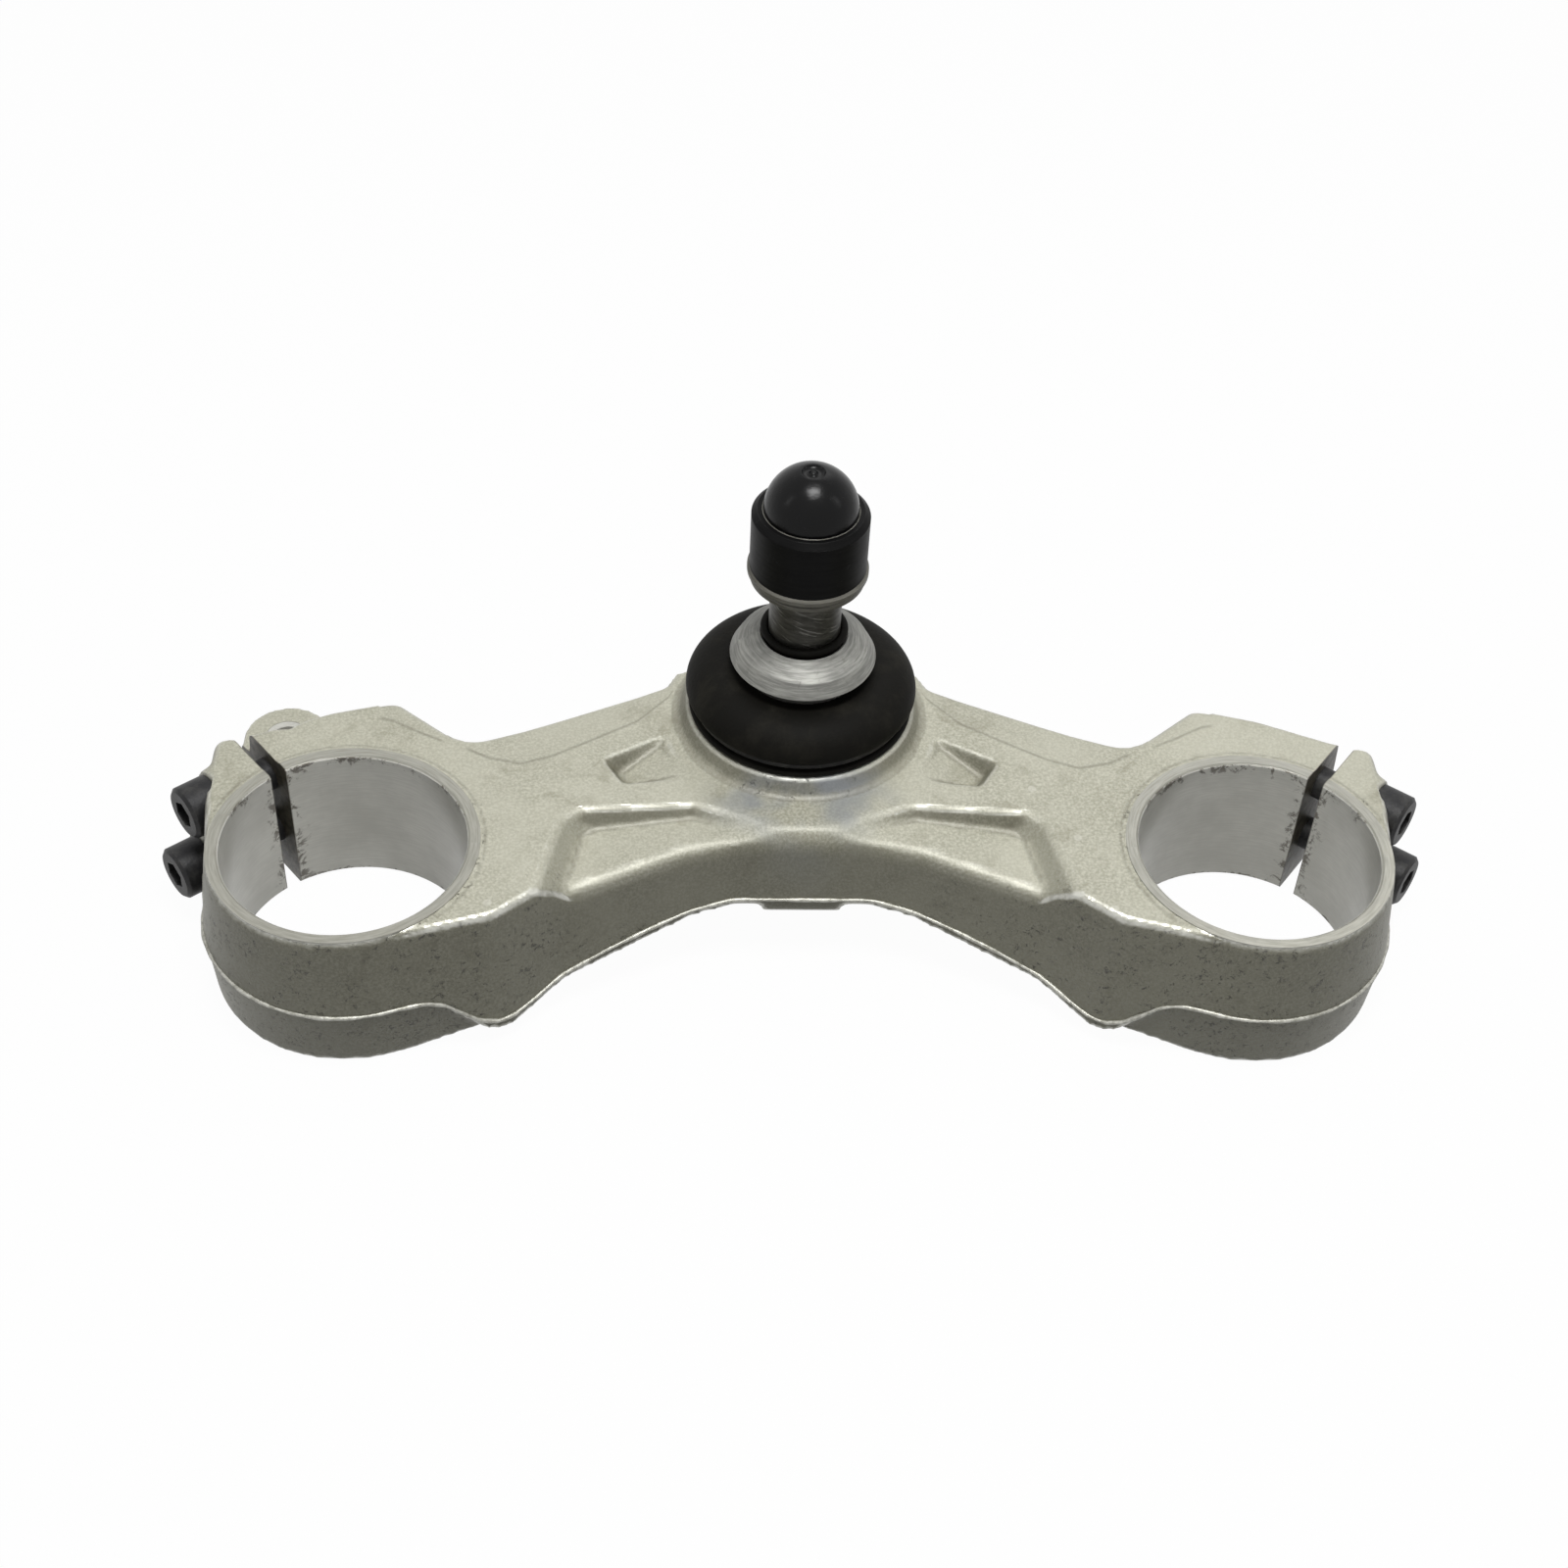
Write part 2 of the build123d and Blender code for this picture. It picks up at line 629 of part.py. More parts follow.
def make_dome():
    """Hollow domed cap; its foot is held under the sleeve's lip."""
    inside = DOME_R - DOME_WALL
    foot_z = NUT_TOP_Z + DOME_FOOT_H
    rise = DOME_R * sin(radians(45))
    arc = ThreePointArc((DOME_R, DOME_Z), (rise, DOME_Z + rise), (0, DOME_Z + DOME_R))
    rest = Polyline(
        (0, DOME_Z + DOME_R),
        (0, DOME_Z + DOME_R - 2 * DOME_WALL),
        (inside, DOME_Z),
        (inside, NUT_TOP_Z),
        (DOME_FOOT_R, NUT_TOP_Z),
        (DOME_FOOT_R, foot_z),
        (DOME_R, foot_z),
        (DOME_R, DOME_Z),
    )
    return Pos(0, STUD_Y, 0) * revolve(Plane.XZ * make_face(arc + rest), Axis.Z)


seat_upper, seat_lower = make_seats()
bolt_upper = make_bolt(UPPER_BOLT)
bolt_lower = make_bolt(LOWER_BOLT)

PIECES = {
    "fork_bridge": make_bridge(),
    "pinch_bolt_right_upper": bolt_upper,
    "pinch_bolt_right_lower": bolt_lower,
    "pinch_bolt_left_upper": mirror(bolt_upper, about=Plane.YZ),
    "pinch_bolt_left_lower": mirror(bolt_lower, about=Plane.YZ),
    "ball_seat_upper": seat_upper,
    "ball_seat_lower": seat_lower,
    "closing_plate": make_plate(),
    "retaining_ring": make_retainer(),
    "boot_clip": make_clip(),
    "boot": make_boot(),
    "seal_collar": make_collar(),
    "ball_stud": make_ball_stud(),
    "thrust_washer": make_washer(),
    "flange_nut": make_nut(),
    "nut_sleeve": make_sleeve(),
    "dome_cap": make_dome(),
}

os.makedirs("parts", exist_ok=True)
for name, piece in PIECES.items():
    export_step(Pos(0, FORK_LINE_Y, 0) * piece, f"parts/{name}.step")
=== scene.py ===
import bmesh
import bpy
import math
import numpy as np
from mathutils import Matrix, Vector, kdtree


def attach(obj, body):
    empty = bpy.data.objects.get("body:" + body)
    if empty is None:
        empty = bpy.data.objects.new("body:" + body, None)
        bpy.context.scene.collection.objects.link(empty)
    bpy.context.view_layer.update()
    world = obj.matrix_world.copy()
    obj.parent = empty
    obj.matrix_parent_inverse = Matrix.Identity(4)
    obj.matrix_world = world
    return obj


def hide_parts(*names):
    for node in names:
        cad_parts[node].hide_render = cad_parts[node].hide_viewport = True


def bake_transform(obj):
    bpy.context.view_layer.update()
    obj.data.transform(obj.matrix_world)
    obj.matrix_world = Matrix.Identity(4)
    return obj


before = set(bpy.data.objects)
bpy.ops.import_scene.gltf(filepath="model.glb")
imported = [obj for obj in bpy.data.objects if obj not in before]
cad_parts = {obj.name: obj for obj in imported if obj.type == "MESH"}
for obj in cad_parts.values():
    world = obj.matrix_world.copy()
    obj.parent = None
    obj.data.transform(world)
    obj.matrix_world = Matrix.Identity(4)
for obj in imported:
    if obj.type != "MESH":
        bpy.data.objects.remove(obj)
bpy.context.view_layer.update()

# Millimetres to metres and back, and the distance in metres at which points are welded
MM = 0.001
TO_MM = 1000
WELD = 0.000002

# Places in the row frame, in metres
FORK_X = 0.105
FORK_Y = -0.0213
STUD_Y = 0.0237
BORE_R = 0.028
RING_R = 0.0309
RING_Z = 0.038
TOP_Z = 0.0375
SLOT_ANGLE = math.radians(52)
SLOT_HALF = 0.00195
BORE_CHAMFER = 0.00055
LUG = (-0.1235, 0.0222)
LUG_HOLE_R = 0.0042
LUG_CHAMFER = 0.0009
LUG_LOW_Z = 0.024
LUG_TOP_Z = 0.030

# Filling of the machined openings: how far it reaches into their walls, and how a slot's wall is known
BORE_FILL = 0.0005
LUG_FILL = 0.0004
SLOT_FILL = 0.0004
SLOT_WALL_FROM = 0.02
SLOT_WALL_SLACK = 0.00002

# Cutters: how far they stand out, the slot cutter's reach from the fork's axis and its heights, and
# the number of sides of the round ones
BORE_CUT_OUT = 0.005
LUG_CUT_OUT = 0.003
SLOT_CUT_FROM = 0.01
SLOT_CUT_TO = 0.07
SLOT_CUT_HEIGHTS = (-0.01, 0.05)
BORE_SIDES = 160
LUG_SIDES = 96
CYLINDER_SIDES = 128

# The cast surface: size of the remeshing grid, passes of smoothing, share of faces kept, angle of a
# sharp edge, share of the way that a pass moves a point, and the movement that marks an edge fully
CAST_GRID = 0.00075
CAST_PASSES = 4
CAST_KEEP = 0.4
CAST_SHARP = math.radians(35)
SMOOTH_SHARE = 0.5
EDGE_MOVE = 0.0005

# Saddle between the front pockets: crest and front lip, their half widths, and its reach to the rear
CREST_Y = -0.0153
CREST_HALF = 0.006
CUT_HALF = 0.013
CUT_OUT = 0.002
LIP_Y = -0.0194
LIP_Z = 0.0332
LIP_HALF = 0.008
FOOT_Y = -0.0186
FOOT_Z = 0.034
FOOT_HALF = 0.019
SADDLE_REAR_Y = -0.008

# Further smoothing of the saddle: passes, how far it takes the edge marks away, where it ends and fades
SADDLE_PASSES = 10
SADDLE_FADE = 0.65
SADDLE_END_X, SADDLE_FADE_X = 0.024, 0.008
SADDLE_END_Y, SADDLE_FADE_Y = -0.0085, 0.004
SADDLE_END_Z, SADDLE_FADE_Z = 0.030, 0.003

# Faint creases in the top face, from which it falls to the rear edge: across and back, in millimetres.
# Then how the fall sets in and where it ends, and the painted shade line's width, taper and range
CREASES = [
    [(29.5, 33.7), (31.5, 29.2), (39.0, 20.4), (46.0, 16.0), (52.0, 12.2), (59.0, 8.0), (66.2, 5.3),
     (73.7, 7.1), (80.0, 10.7)],
    [(84.3, 12.5), (90.3, 15.5), (97.6, 19.9), (101.4, 20.8)],
]
CREASE_FALL = 0.10
CREASE_SOFT = 0.6
CREASE_END_Z, CREASE_FADE_Z = 0.033, 0.004
CREASE_WIDTH = 0.0008
CREASE_TAPER = 0.002
LINE_SPAN = 150.0

# Marks of the die's ejector pins on the top face
EJECTOR_MARKS = [(-0.0715, -0.0394), (0.0689, -0.0402), (0.0631, -0.018), (0.0541, -0.0019)]
EJECTOR_R = 0.0011

# Parting line of the casting, seen from the front: across and height, in millimetres
PARTING = [
    (0.0, 18.8), (17.0, 18.8), (23.0, 17.8), (30.0, 16.6), (36.0, 15.4), (45.0, 13.1), (53.0, 10.5),
    (58.0, 9.0), (62.0, 7.4), (66.0, 6.3), (70.0, 6.3), (74.0, 7.8), (78.0, 11.2), (81.5, 14.4),
    (86.0, 16.2), (200.0, 16.2),
]

# The flash along it: half width and height, spacing of its points, the largest upward part of a
# wall's normal, what it keeps clear of, and the grid steps in a metre on which points are the same
RIDGE_OUT = 0.00058
RIDGE_UP = 0.00048
RIDGE_STEP = 0.0012
RIDGE_SIDES = 8
RIDGE_LEAST_POINTS = 8
WALL_NORMAL_Z = 0.6
CLEAR_OF_BORE = 0.0295
CLEAR_OF_SLOT = 0.0024
CLEAR_OF_SLOT_FROM = 0.01
CLEAR_OF_PIN = 0.0225
POINT_GRID = 1e5

# Section of the boot's skin, radius and height in millimetres: outside from the foot up, inside down
BOOT_OUTER = [
    (21.6, 41.55), (24.6, 41.55), (26.3, 41.7), (26.8, 42.3), (26.4, 42.95), (25.2, 43.3),
    (25.0, 43.9), (25.0, 44.6), (25.3, 45.1), (26.7, 45.6), (27.5, 46.9), (27.3, 48.8),
    (26.3, 50.6), (24.4, 52.3), (21.8, 53.5), (18.6, 53.95), (15.4, 53.4), (13.2, 53.1),
    (12.0, 53.4), (11.6, 55.0), (10.4, 58.5), (9.6, 61.0), (9.6, 63.6), (10.3, 64.8), (10.1, 65.6),
    (9.2, 65.8),
]
BOOT_INNER = [
    (8.55, 65.3), (8.5, 63.5), (8.5, 60.8), (9.0, 57.0), (9.9, 52.0), (12.5, 50.9), (18.0, 51.7),
    (22.0, 51.0), (24.4, 48.6), (23.6, 46.6), (21.8, 45.3), (21.55, 44.0),
]
BOOT_PER_SPAN = 3
BOOT_SIDES = 112

# Section of the dome's skin in the same way: gate mark, ball from an angle down, and foot
DOME_GATE = [
    (0.0, 109.95), (0.45, 109.9), (0.75, 109.6), (0.95, 109.35), (1.7, 109.3), (2.3, 109.4),
    (2.55, 109.7), (2.75, 109.98),
]
DOME_R = 10.9
DOME_MIDDLE = 99.5
DOME_FROM = 74
DOME_STEPS = 20
DOME_FOOT = [
    (10.9, 97.4), (12.3, 97.4), (12.3, 96.0), (9.5, 96.0), (9.5, 99.5), (4.0, 105.5), (0.0, 107.6),
]
DOME_SHARP = math.radians(50)
DOME_WELD = 0.000001
SEAM_R = 11.0
SEAM_Z = 99.50
SEAM_TUBE = 0.13
SEAM_TUBE_SIDES = 10
TURNED_SIDES = 96

# Smooth shading of the CAD nodes
NODE_SPLIT = math.radians(24)
NODE_WEIGHT = 60

# Colours of the casting
CAST_DARK = (0.36, 0.352, 0.27)
CAST_LIGHT = (0.485, 0.476, 0.38)
CAST_GRAIN = (0.57, 0.562, 0.465)
SMUDGE = (0.27, 0.253, 0.18)
WALL_SHADE = (0.46, 0.455, 0.43)
PIT = (0.07, 0.065, 0.055)
BOSS_TINT = (0.25, 0.27, 0.30)
EJECTOR_TONE = (0.66, 0.65, 0.57)
# Light colour of the rubbed edges: partly wear, partly painted highlight
WORN_CAST_AND_HIGHLIGHT = (0.74, 0.74, 0.69)
# Dark colour laid in the hollows: painted shade
HOLLOW_SHADE = (0.16, 0.15, 0.11)
# Dark colour of the line along each crease: painted shade
CREASE_SHADE = (0.19, 0.18, 0.135)
BORE_DARK = (0.60, 0.595, 0.545)
BORE_LIGHT = (0.74, 0.735, 0.68)
BORE_LINES = (0.48, 0.475, 0.43)
BORE_STAIN = (0.075, 0.057, 0.036)
BORE_FLECK = (0.16, 0.14, 0.11)
RING_DARK = (0.31, 0.305, 0.258)
RING_LIGHT = (0.42, 0.413, 0.362)
RING_SMUDGE = (0.33, 0.315, 0.25)
# Near black colours of the slot walls: painted shade
SLOT_SHADE_DARK = (0.055, 0.048, 0.036)
SLOT_SHADE_LIGHT = (0.17, 0.155, 0.12)

# Colours of the other pieces
FLASH_DARK = (0.30, 0.295, 0.25)
FLASH_LIGHT = (0.56, 0.555, 0.50)
SCRATCH_DARK = (0.05, 0.047, 0.04)
NICK = (0.07, 0.06, 0.05)
DOME_BLACK = (0.003, 0.003, 0.0032)
DOME_SCUFF = (0.02, 0.02, 0.02)
RUBBER_DARK = (0.005, 0.0047, 0.0037)
RUBBER_DUST = (0.015, 0.014, 0.011)
OXIDE_DARK = (0.014, 0.014, 0.015)
OXIDE_LIGHT = (0.048, 0.047, 0.045)
OXIDE_WORN = (0.22, 0.215, 0.20)
SEAT_DARK = (0.52, 0.50, 0.42)
SEAT_LIGHT = (0.68, 0.66, 0.58)

# Camera, fitted to the fork rings, the pin and the arm's corners
CAM_LENS = 55.125
CAM_SENSOR = 36.0
CAM_ELEVATION = math.radians(44.11)
CAM_AZIMUTH = math.radians(-4.01)
CAM_ROLL = math.radians(3.25)
CAM_PLACE = (-0.0327, -0.4047, 0.4299)

# Floor, and the world's strength as a light and as seen
FLOOR_SIZE = 8.0
FLOOR_Z = -0.0002
FLOOR_GLOW = 1.08
FLOOR_GLOW_SHARE = 0.9
WORLD_LIGHT = 0.10
WORLD_SEEN = 1.0

# Lamps: name, place, aim, size and power
LAMPS = [
    ("overhead", (0.03, -0.14, 0.95), (0, 0.01, 0.03), (0.34, 0.26), 7.0),
    ("rear_fill", (0.25, 0.75, 0.75), (0, 0, 0.03), (0.6, 0.5), 1.0),
    ("left_strip", (-0.62, -0.12, 0.50), (0, 0.02, 0.09), (0.05, 0.34), 0.2),
    ("right_strip", (0.62, -0.12, 0.50), (0, 0.02, 0.09), (0.05, 0.34), 0.2),
]


def add(tree, kind, inputs=None, out=0, **settings):
    """Adds a shader node. An input is a plain value or another node's output."""
    made = tree.nodes.new("ShaderNode" + kind)
    for name, value in settings.items():
        setattr(made, name, value)
    for key, value in (inputs or {}).items():
        if isinstance(value, bpy.types.NodeSocket):
            tree.links.new(value, made.inputs[key])
        else:
            made.inputs[key].default_value = value
    return made.outputs[out]


def calc(tree, operation, a, b=0.0):
    return add(tree, "Math", {0: a, 1: b}, operation=operation)


def plus(tree, a, b):
    return calc(tree, "ADD", a, b)


def minus(tree, a, b):
    return calc(tree, "SUBTRACT", a, b)


def times(tree, value, *others):
    for other in others:
        value = calc(tree, "MULTIPLY", value, other)
    return value


def most(tree, value, *others):
    for other in others:
        value = calc(tree, "MAXIMUM", value, other)
    return value


def step(tree, value, low, high):
    """0 below low, 1 above high, smooth between; low may be the larger."""
    return add(tree, "MapRange", {"Value": value, "From Min": low, "From Max": high},
               interpolation_type="SMOOTHSTEP")


def spread(tree, value, low, high):
    """A 0 to 1 value laid between two numbers."""
    return add(tree, "MapRange", {"Value": value, "To Min": low, "To Max": high})


def blend(tree, share, a, b, kind="MIX"):
    """Mixes two colours, each of them three numbers or another node's output."""
    a, b = ((*colour, 1) if isinstance(colour, tuple) else colour for colour in (a, b))
    return add(tree, "Mix", {0: share, 6: a, 7: b}, out=2, data_type="RGBA", blend_type=kind)


def paint(tree, colour, mask, strength, over):
    """Lays a colour over another where a mask is, by a strength."""
    return blend(tree, times(tree, mask, strength), colour, over)


def noise(tree, where, scale, detail=3.0, rough=0.55, distort=0.0):
    return add(tree, "TexNoise", {"Vector": where, "Scale": scale, "Detail": detail,
                                  "Roughness": rough, "Distortion": distort}, out="Fac")


def bump(tree, height, depth, normal=None):
    """Raises the surface by the height value times depth, in metres."""
    inputs = {"Height": height, "Distance": depth, "Strength": 1.0}
    if normal is not None:
        inputs["Normal"] = normal
    return add(tree, "Bump", inputs)


def object_place(tree):
    return add(tree, "TexCoord", out="Object")


def split(tree, vector):
    return add(tree, "SeparateXYZ", {0: vector}).node.outputs[:3]


def length2(tree, a, b):
    return calc(tree, "SQRT", plus(tree, times(tree, a, a), times(tree, b, b)))


def along_line(tree, across, points):
    """How far back a line of points lies at a place across. The points are in millimetres."""
    made = tree.nodes.new("ShaderNodeFloatCurve")
    line = made.mapping.curves[0]
    while len(line.points) < len(points):
        line.points.new(0.5, 0.5)
    for spot, (x, y) in zip(line.points, points):
        spot.location = (x / LINE_SPAN, y / LINE_SPAN)
        spot.handle_type = "VECTOR"
    made.mapping.update()
    tree.links.new(calc(tree, "DIVIDE", across, MM * LINE_SPAN), made.inputs["Value"])
    return times(tree, made.outputs[0], MM * LINE_SPAN)


def new_material(name, colour, metallic, roughness, **constants):
    """A material and its shader; the keywords are other constant sockets."""
    made = bpy.data.materials.new(name)
    made.use_nodes = True
    shader = made.node_tree.nodes["Principled BSDF"]
    shader.inputs["Base Color"].default_value = (*colour, 1.0)
    shader.inputs["Metallic"].default_value = metallic
    shader.inputs["Roughness"].default_value = roughness
    for key, value in constants.items():
        shader.inputs[key.replace("_", " ")].default_value = value
    return made, made.node_tree, shader


def connect(tree, shader, colour, roughness, normal):
    for name, value in (("Base Color", colour), ("Roughness", roughness), ("Normal", normal)):
        tree.links.new(value, shader.inputs[name])


def rounded(tree, radius):
    """A normal that rounds the sharp edges, and a mask of where it does so."""
    soft = add(tree, "Bevel", {"Radius": radius}, samples=6)
    flat = add(tree, "NewGeometry", out="Normal")
    agree = add(tree, "VectorMath", {0: soft, 1: flat}, out="Value", operation="DOT_PRODUCT")
    return soft, minus(tree, 1.0, agree)


def with_crease_shade_lines(tree, colour, x, y, z, fine):
    """Paints a thin broken dark line along each crease of the top face: painted shade."""
    across = calc(tree, "ABSOLUTE", x)
    for crease in CREASES:
        off = calc(tree, "ABSOLUTE", minus(tree, y, along_line(tree, across, crease)))
        inner, outer = MM * crease[0][0], MM * crease[-1][0]
        line = times(tree, step(tree, off, CREASE_WIDTH, 0.1 * CREASE_WIDTH),
                     step(tree, z, TOP_Z - 0.0035, TOP_Z - 0.0025),
                     step(tree, across, inner, inner + CREASE_TAPER),
                     step(tree, across, outer, outer - CREASE_TAPER),
                     spread(tree, fine, 0.25, 0.75))
        # The crease line darkens the surface: painted shade
        colour = blend(tree, line, colour, CREASE_SHADE)
    return colour


def bore_colour(tree, where, z, from_y, from_slot, lines):
    """Machined walls of the bores, stained at the rear along the top, the slot and the foot."""
    cloud = noise(tree, where, 60, 4, 0.6)
    colour = blend(tree, step(tree, cloud, 0.3, 0.7), BORE_DARK, BORE_LIGHT)
    colour = paint(tree, colour, step(tree, lines, 0.35, 0.65), 0.25, BORE_LINES)
    rear = step(tree, from_y, -0.004, 0.012)
    by_top = times(tree, step(tree, z, RING_Z - 0.006, RING_Z - 0.0008), rear)
    by_slot = times(tree, step(tree, from_slot, 0.0075, 0.0025), rear)
    by_foot = times(tree, step(tree, z, 0.0022, 0.0006), rear)
    near = most(tree, by_top, by_slot, by_foot)
    blot = noise(tree, where, 260, 6, 0.75, 0.5)
    stain = step(tree, plus(tree, blot, times(tree, near, 0.16)), 0.655, 0.74)
    colour = paint(tree, colour, times(tree, stain, near), 0.85, BORE_STAIN)
    fleck = step(tree, noise(tree, where, 700, 4, 0.75), 0.70, 0.76)
    return paint(tree, colour, fleck, 0.5, BORE_FLECK)


def casting_material():
    """Blasted cast aluminium, with machined bores and ring lands and a used surface."""
    made, tree, shader = new_material("cast_aluminium", (0.47, 0.46, 0.37), 0.08, 0.55,
                                      Specular_IOR_Level=0.5)
    where = object_place(tree)
    x, y, z = split(tree, where)
    from_x = minus(tree, calc(tree, "ABSOLUTE", x), FORK_X)
    from_y = minus(tree, y, FORK_Y)
    fork_r = length2(tree, from_x, from_y)
    edge = add(tree, "Attribute", out="Fac", attribute_name="edge")
    upward = split(tree, add(tree, "NewGeometry", out="Normal"))[2]
    wall = step(tree, upward, 0.92, 0.50)

    # Mottled cast skin, with painted shade that darkens its walls
    grain = noise(tree, where, 1500, 3, 0.7)
    fine = noise(tree, where, 420, 4, 0.6)
    broad = noise(tree, where, 34, 4, 0.55)
    colour = blend(tree, step(tree, broad, 0.3, 0.7), CAST_DARK, CAST_LIGHT)
    colour = blend(tree, step(tree, grain, 0.35, 0.70), colour, CAST_GRAIN)
    smudge = step(tree, noise(tree, where, 85, 6, 0.66, 0.8), 0.52, 0.76)
    colour = paint(tree, colour, smudge, 0.6, SMUDGE)
    low = times(tree, step(tree, z, 0.028, 0.006), spread(tree, fine, 0.3, 1.2))
    # Steep walls are multiplied towards WALL_SHADE: painted shade
    wall_painted_shade = times(tree, wall, spread(tree, low, 0.97, 0.90))
    colour = blend(tree, wall_painted_shade, colour, WALL_SHADE, "MULTIPLY")

    # Dark pits in clusters, on the front walls and on the front of the boss's foot
    pit = step(tree, noise(tree, where, 600, 6, 0.85, 0.3), 0.575, 0.61)
    crowd = step(tree, noise(tree, where, 110, 4, 0.7), 0.42, 0.58)
    front = times(tree, wall, step(tree, y, -0.02, -0.035))
    foot_front = times(tree, step(tree, z, 0.0374, 0.0379), step(tree, y, 0.0, -0.004))
    pit = times(tree, pit, crowd, most(tree, front, foot_front))
    colour = paint(tree, colour, pit, 0.8, PIT)

    # Bluish tint in front of the boss
    tint_r = length2(tree, times(tree, x, 0.6), plus(tree, y, 0.006))
    tint = times(tree, step(tree, tint_r, 0.016, 0.006),
                 step(tree, noise(tree, where, 70, 2), 0.35, 0.65))
    colour = paint(tree, colour, tint, 0.75, BOSS_TINT)

    for mark_x, mark_y in EJECTOR_MARKS:
        mark_r = length2(tree, minus(tree, x, mark_x), minus(tree, y, mark_y))
        disc = times(tree, step(tree, mark_r, EJECTOR_R, 0.8 * EJECTOR_R),
                     step(tree, z, 0.036, 0.037))
        colour = paint(tree, colour, disc, 0.45, EJECTOR_TONE)

    # Edges rubbed bright, partly real wear and partly painted highlight, most of all in front, and
    # painted shade in the hollows
    # Outer edges lightened: partly wear, partly a painted highlight, stronger in front
    worn = times(tree, step(tree, edge, 0.56, 0.72),
                 spread(tree, step(tree, fine, 0.3, 0.6), 0.55, 1.0),
                 spread(tree, step(tree, y, 0.002, -0.012), 0.35, 1.0))
    colour = paint(tree, colour, worn, 0.65, WORN_CAST_AND_HIGHLIGHT)
    # Hollows and inner edges are darkened: painted shade
    hollow_shade = times(tree, step(tree, edge, 0.47, 0.32), spread(tree, fine, 0.3, 1.0))
    colour = paint(tree, colour, hollow_shade, 0.7, HOLLOW_SHADE)
    colour = with_crease_shade_lines(tree, colour, x, y, z, fine)

    # Machined rings, bores and lug hole, with fine turned lines, and the slots, whose walls are painted
    # near black as painted shade
    lug_r = length2(tree, minus(tree, x, LUG[0]), minus(tree, y, LUG[1]))
    bore = most(tree, step(tree, fork_r, BORE_R + 0.0003, BORE_R + 0.0001),
                step(tree, lug_r, LUG_HOLE_R + LUG_CHAMFER, LUG_HOLE_R + 0.9 * LUG_CHAMFER))
    ring = times(tree, step(tree, fork_r, RING_R + 0.0002, RING_R - 0.0001),
                 step(tree, z, RING_Z - 0.0004, RING_Z - 0.0002))
    angle = calc(tree, "ARCTAN2", from_y, from_x)
    turned = add(tree, "CombineXYZ", {0: fork_r, 1: times(tree, angle, 0.002), 2: z})
    lines = noise(tree, turned, 2600, 2, 0.6)
    across = minus(tree, times(tree, from_x, math.sin(SLOT_ANGLE)),
                   times(tree, from_y, math.cos(SLOT_ANGLE)))
    from_slot = calc(tree, "ABSOLUTE", across)
    ring_colour = blend(tree, step(tree, lines, 0.3, 0.7), RING_DARK, RING_LIGHT)
    ring_colour = paint(tree, ring_colour, smudge, 0.35, RING_SMUDGE)
    colour = blend(tree, ring, colour, ring_colour)
    colour = blend(tree, bore, colour, bore_colour(tree, where, z, from_y, from_slot, lines))
    # The slot walls get a near black colour: painted shade in the narrow gap
    slot = times(tree, step(tree, from_slot, 0.00225, 0.00197), step(tree, from_y, 0.012, 0.016))
    slot_shade_colour = blend(tree, step(tree, fine, 0.35, 0.65), SLOT_SHADE_DARK, SLOT_SHADE_LIGHT)
    colour = paint(tree, colour, slot, 0.9, slot_shade_colour)

    smooth = most(tree, bore, ring, worn)
    roughness = add(tree, "Mix", {0: smooth, 2: spread(tree, grain, 0.36, 0.50), 3: 0.28})
    cast_height = plus(tree, times(tree, grain, 0.5), times(tree, fine, 0.5))
    cast_height = minus(tree, cast_height, times(tree, pit, 1.5))
    height = add(tree, "Mix", {0: smooth, 2: cast_height, 3: times(tree, lines, 0.12)})
    connect(tree, shader, colour, roughness, bump(tree, height, 0.00016))
    tree.links.new(spread(tree, worn, 0.08, 0.45), shader.inputs["Metallic"])
    return made


def ridge_material():
    """The burnished flash line of the casting."""
    made, tree, shader = new_material("burnished_flash", (0.62, 0.62, 0.57), 0.4, 0.4)
    fleck = noise(tree, object_place(tree), 700, 4, 0.65)
    colour = blend(tree, step(tree, fleck, 0.3, 0.65), FLASH_DARK, FLASH_LIGHT)
    connect(tree, shader, colour, spread(tree, fleck, 0.34, 0.52), bump(tree, fleck, 0.0001))
    return made


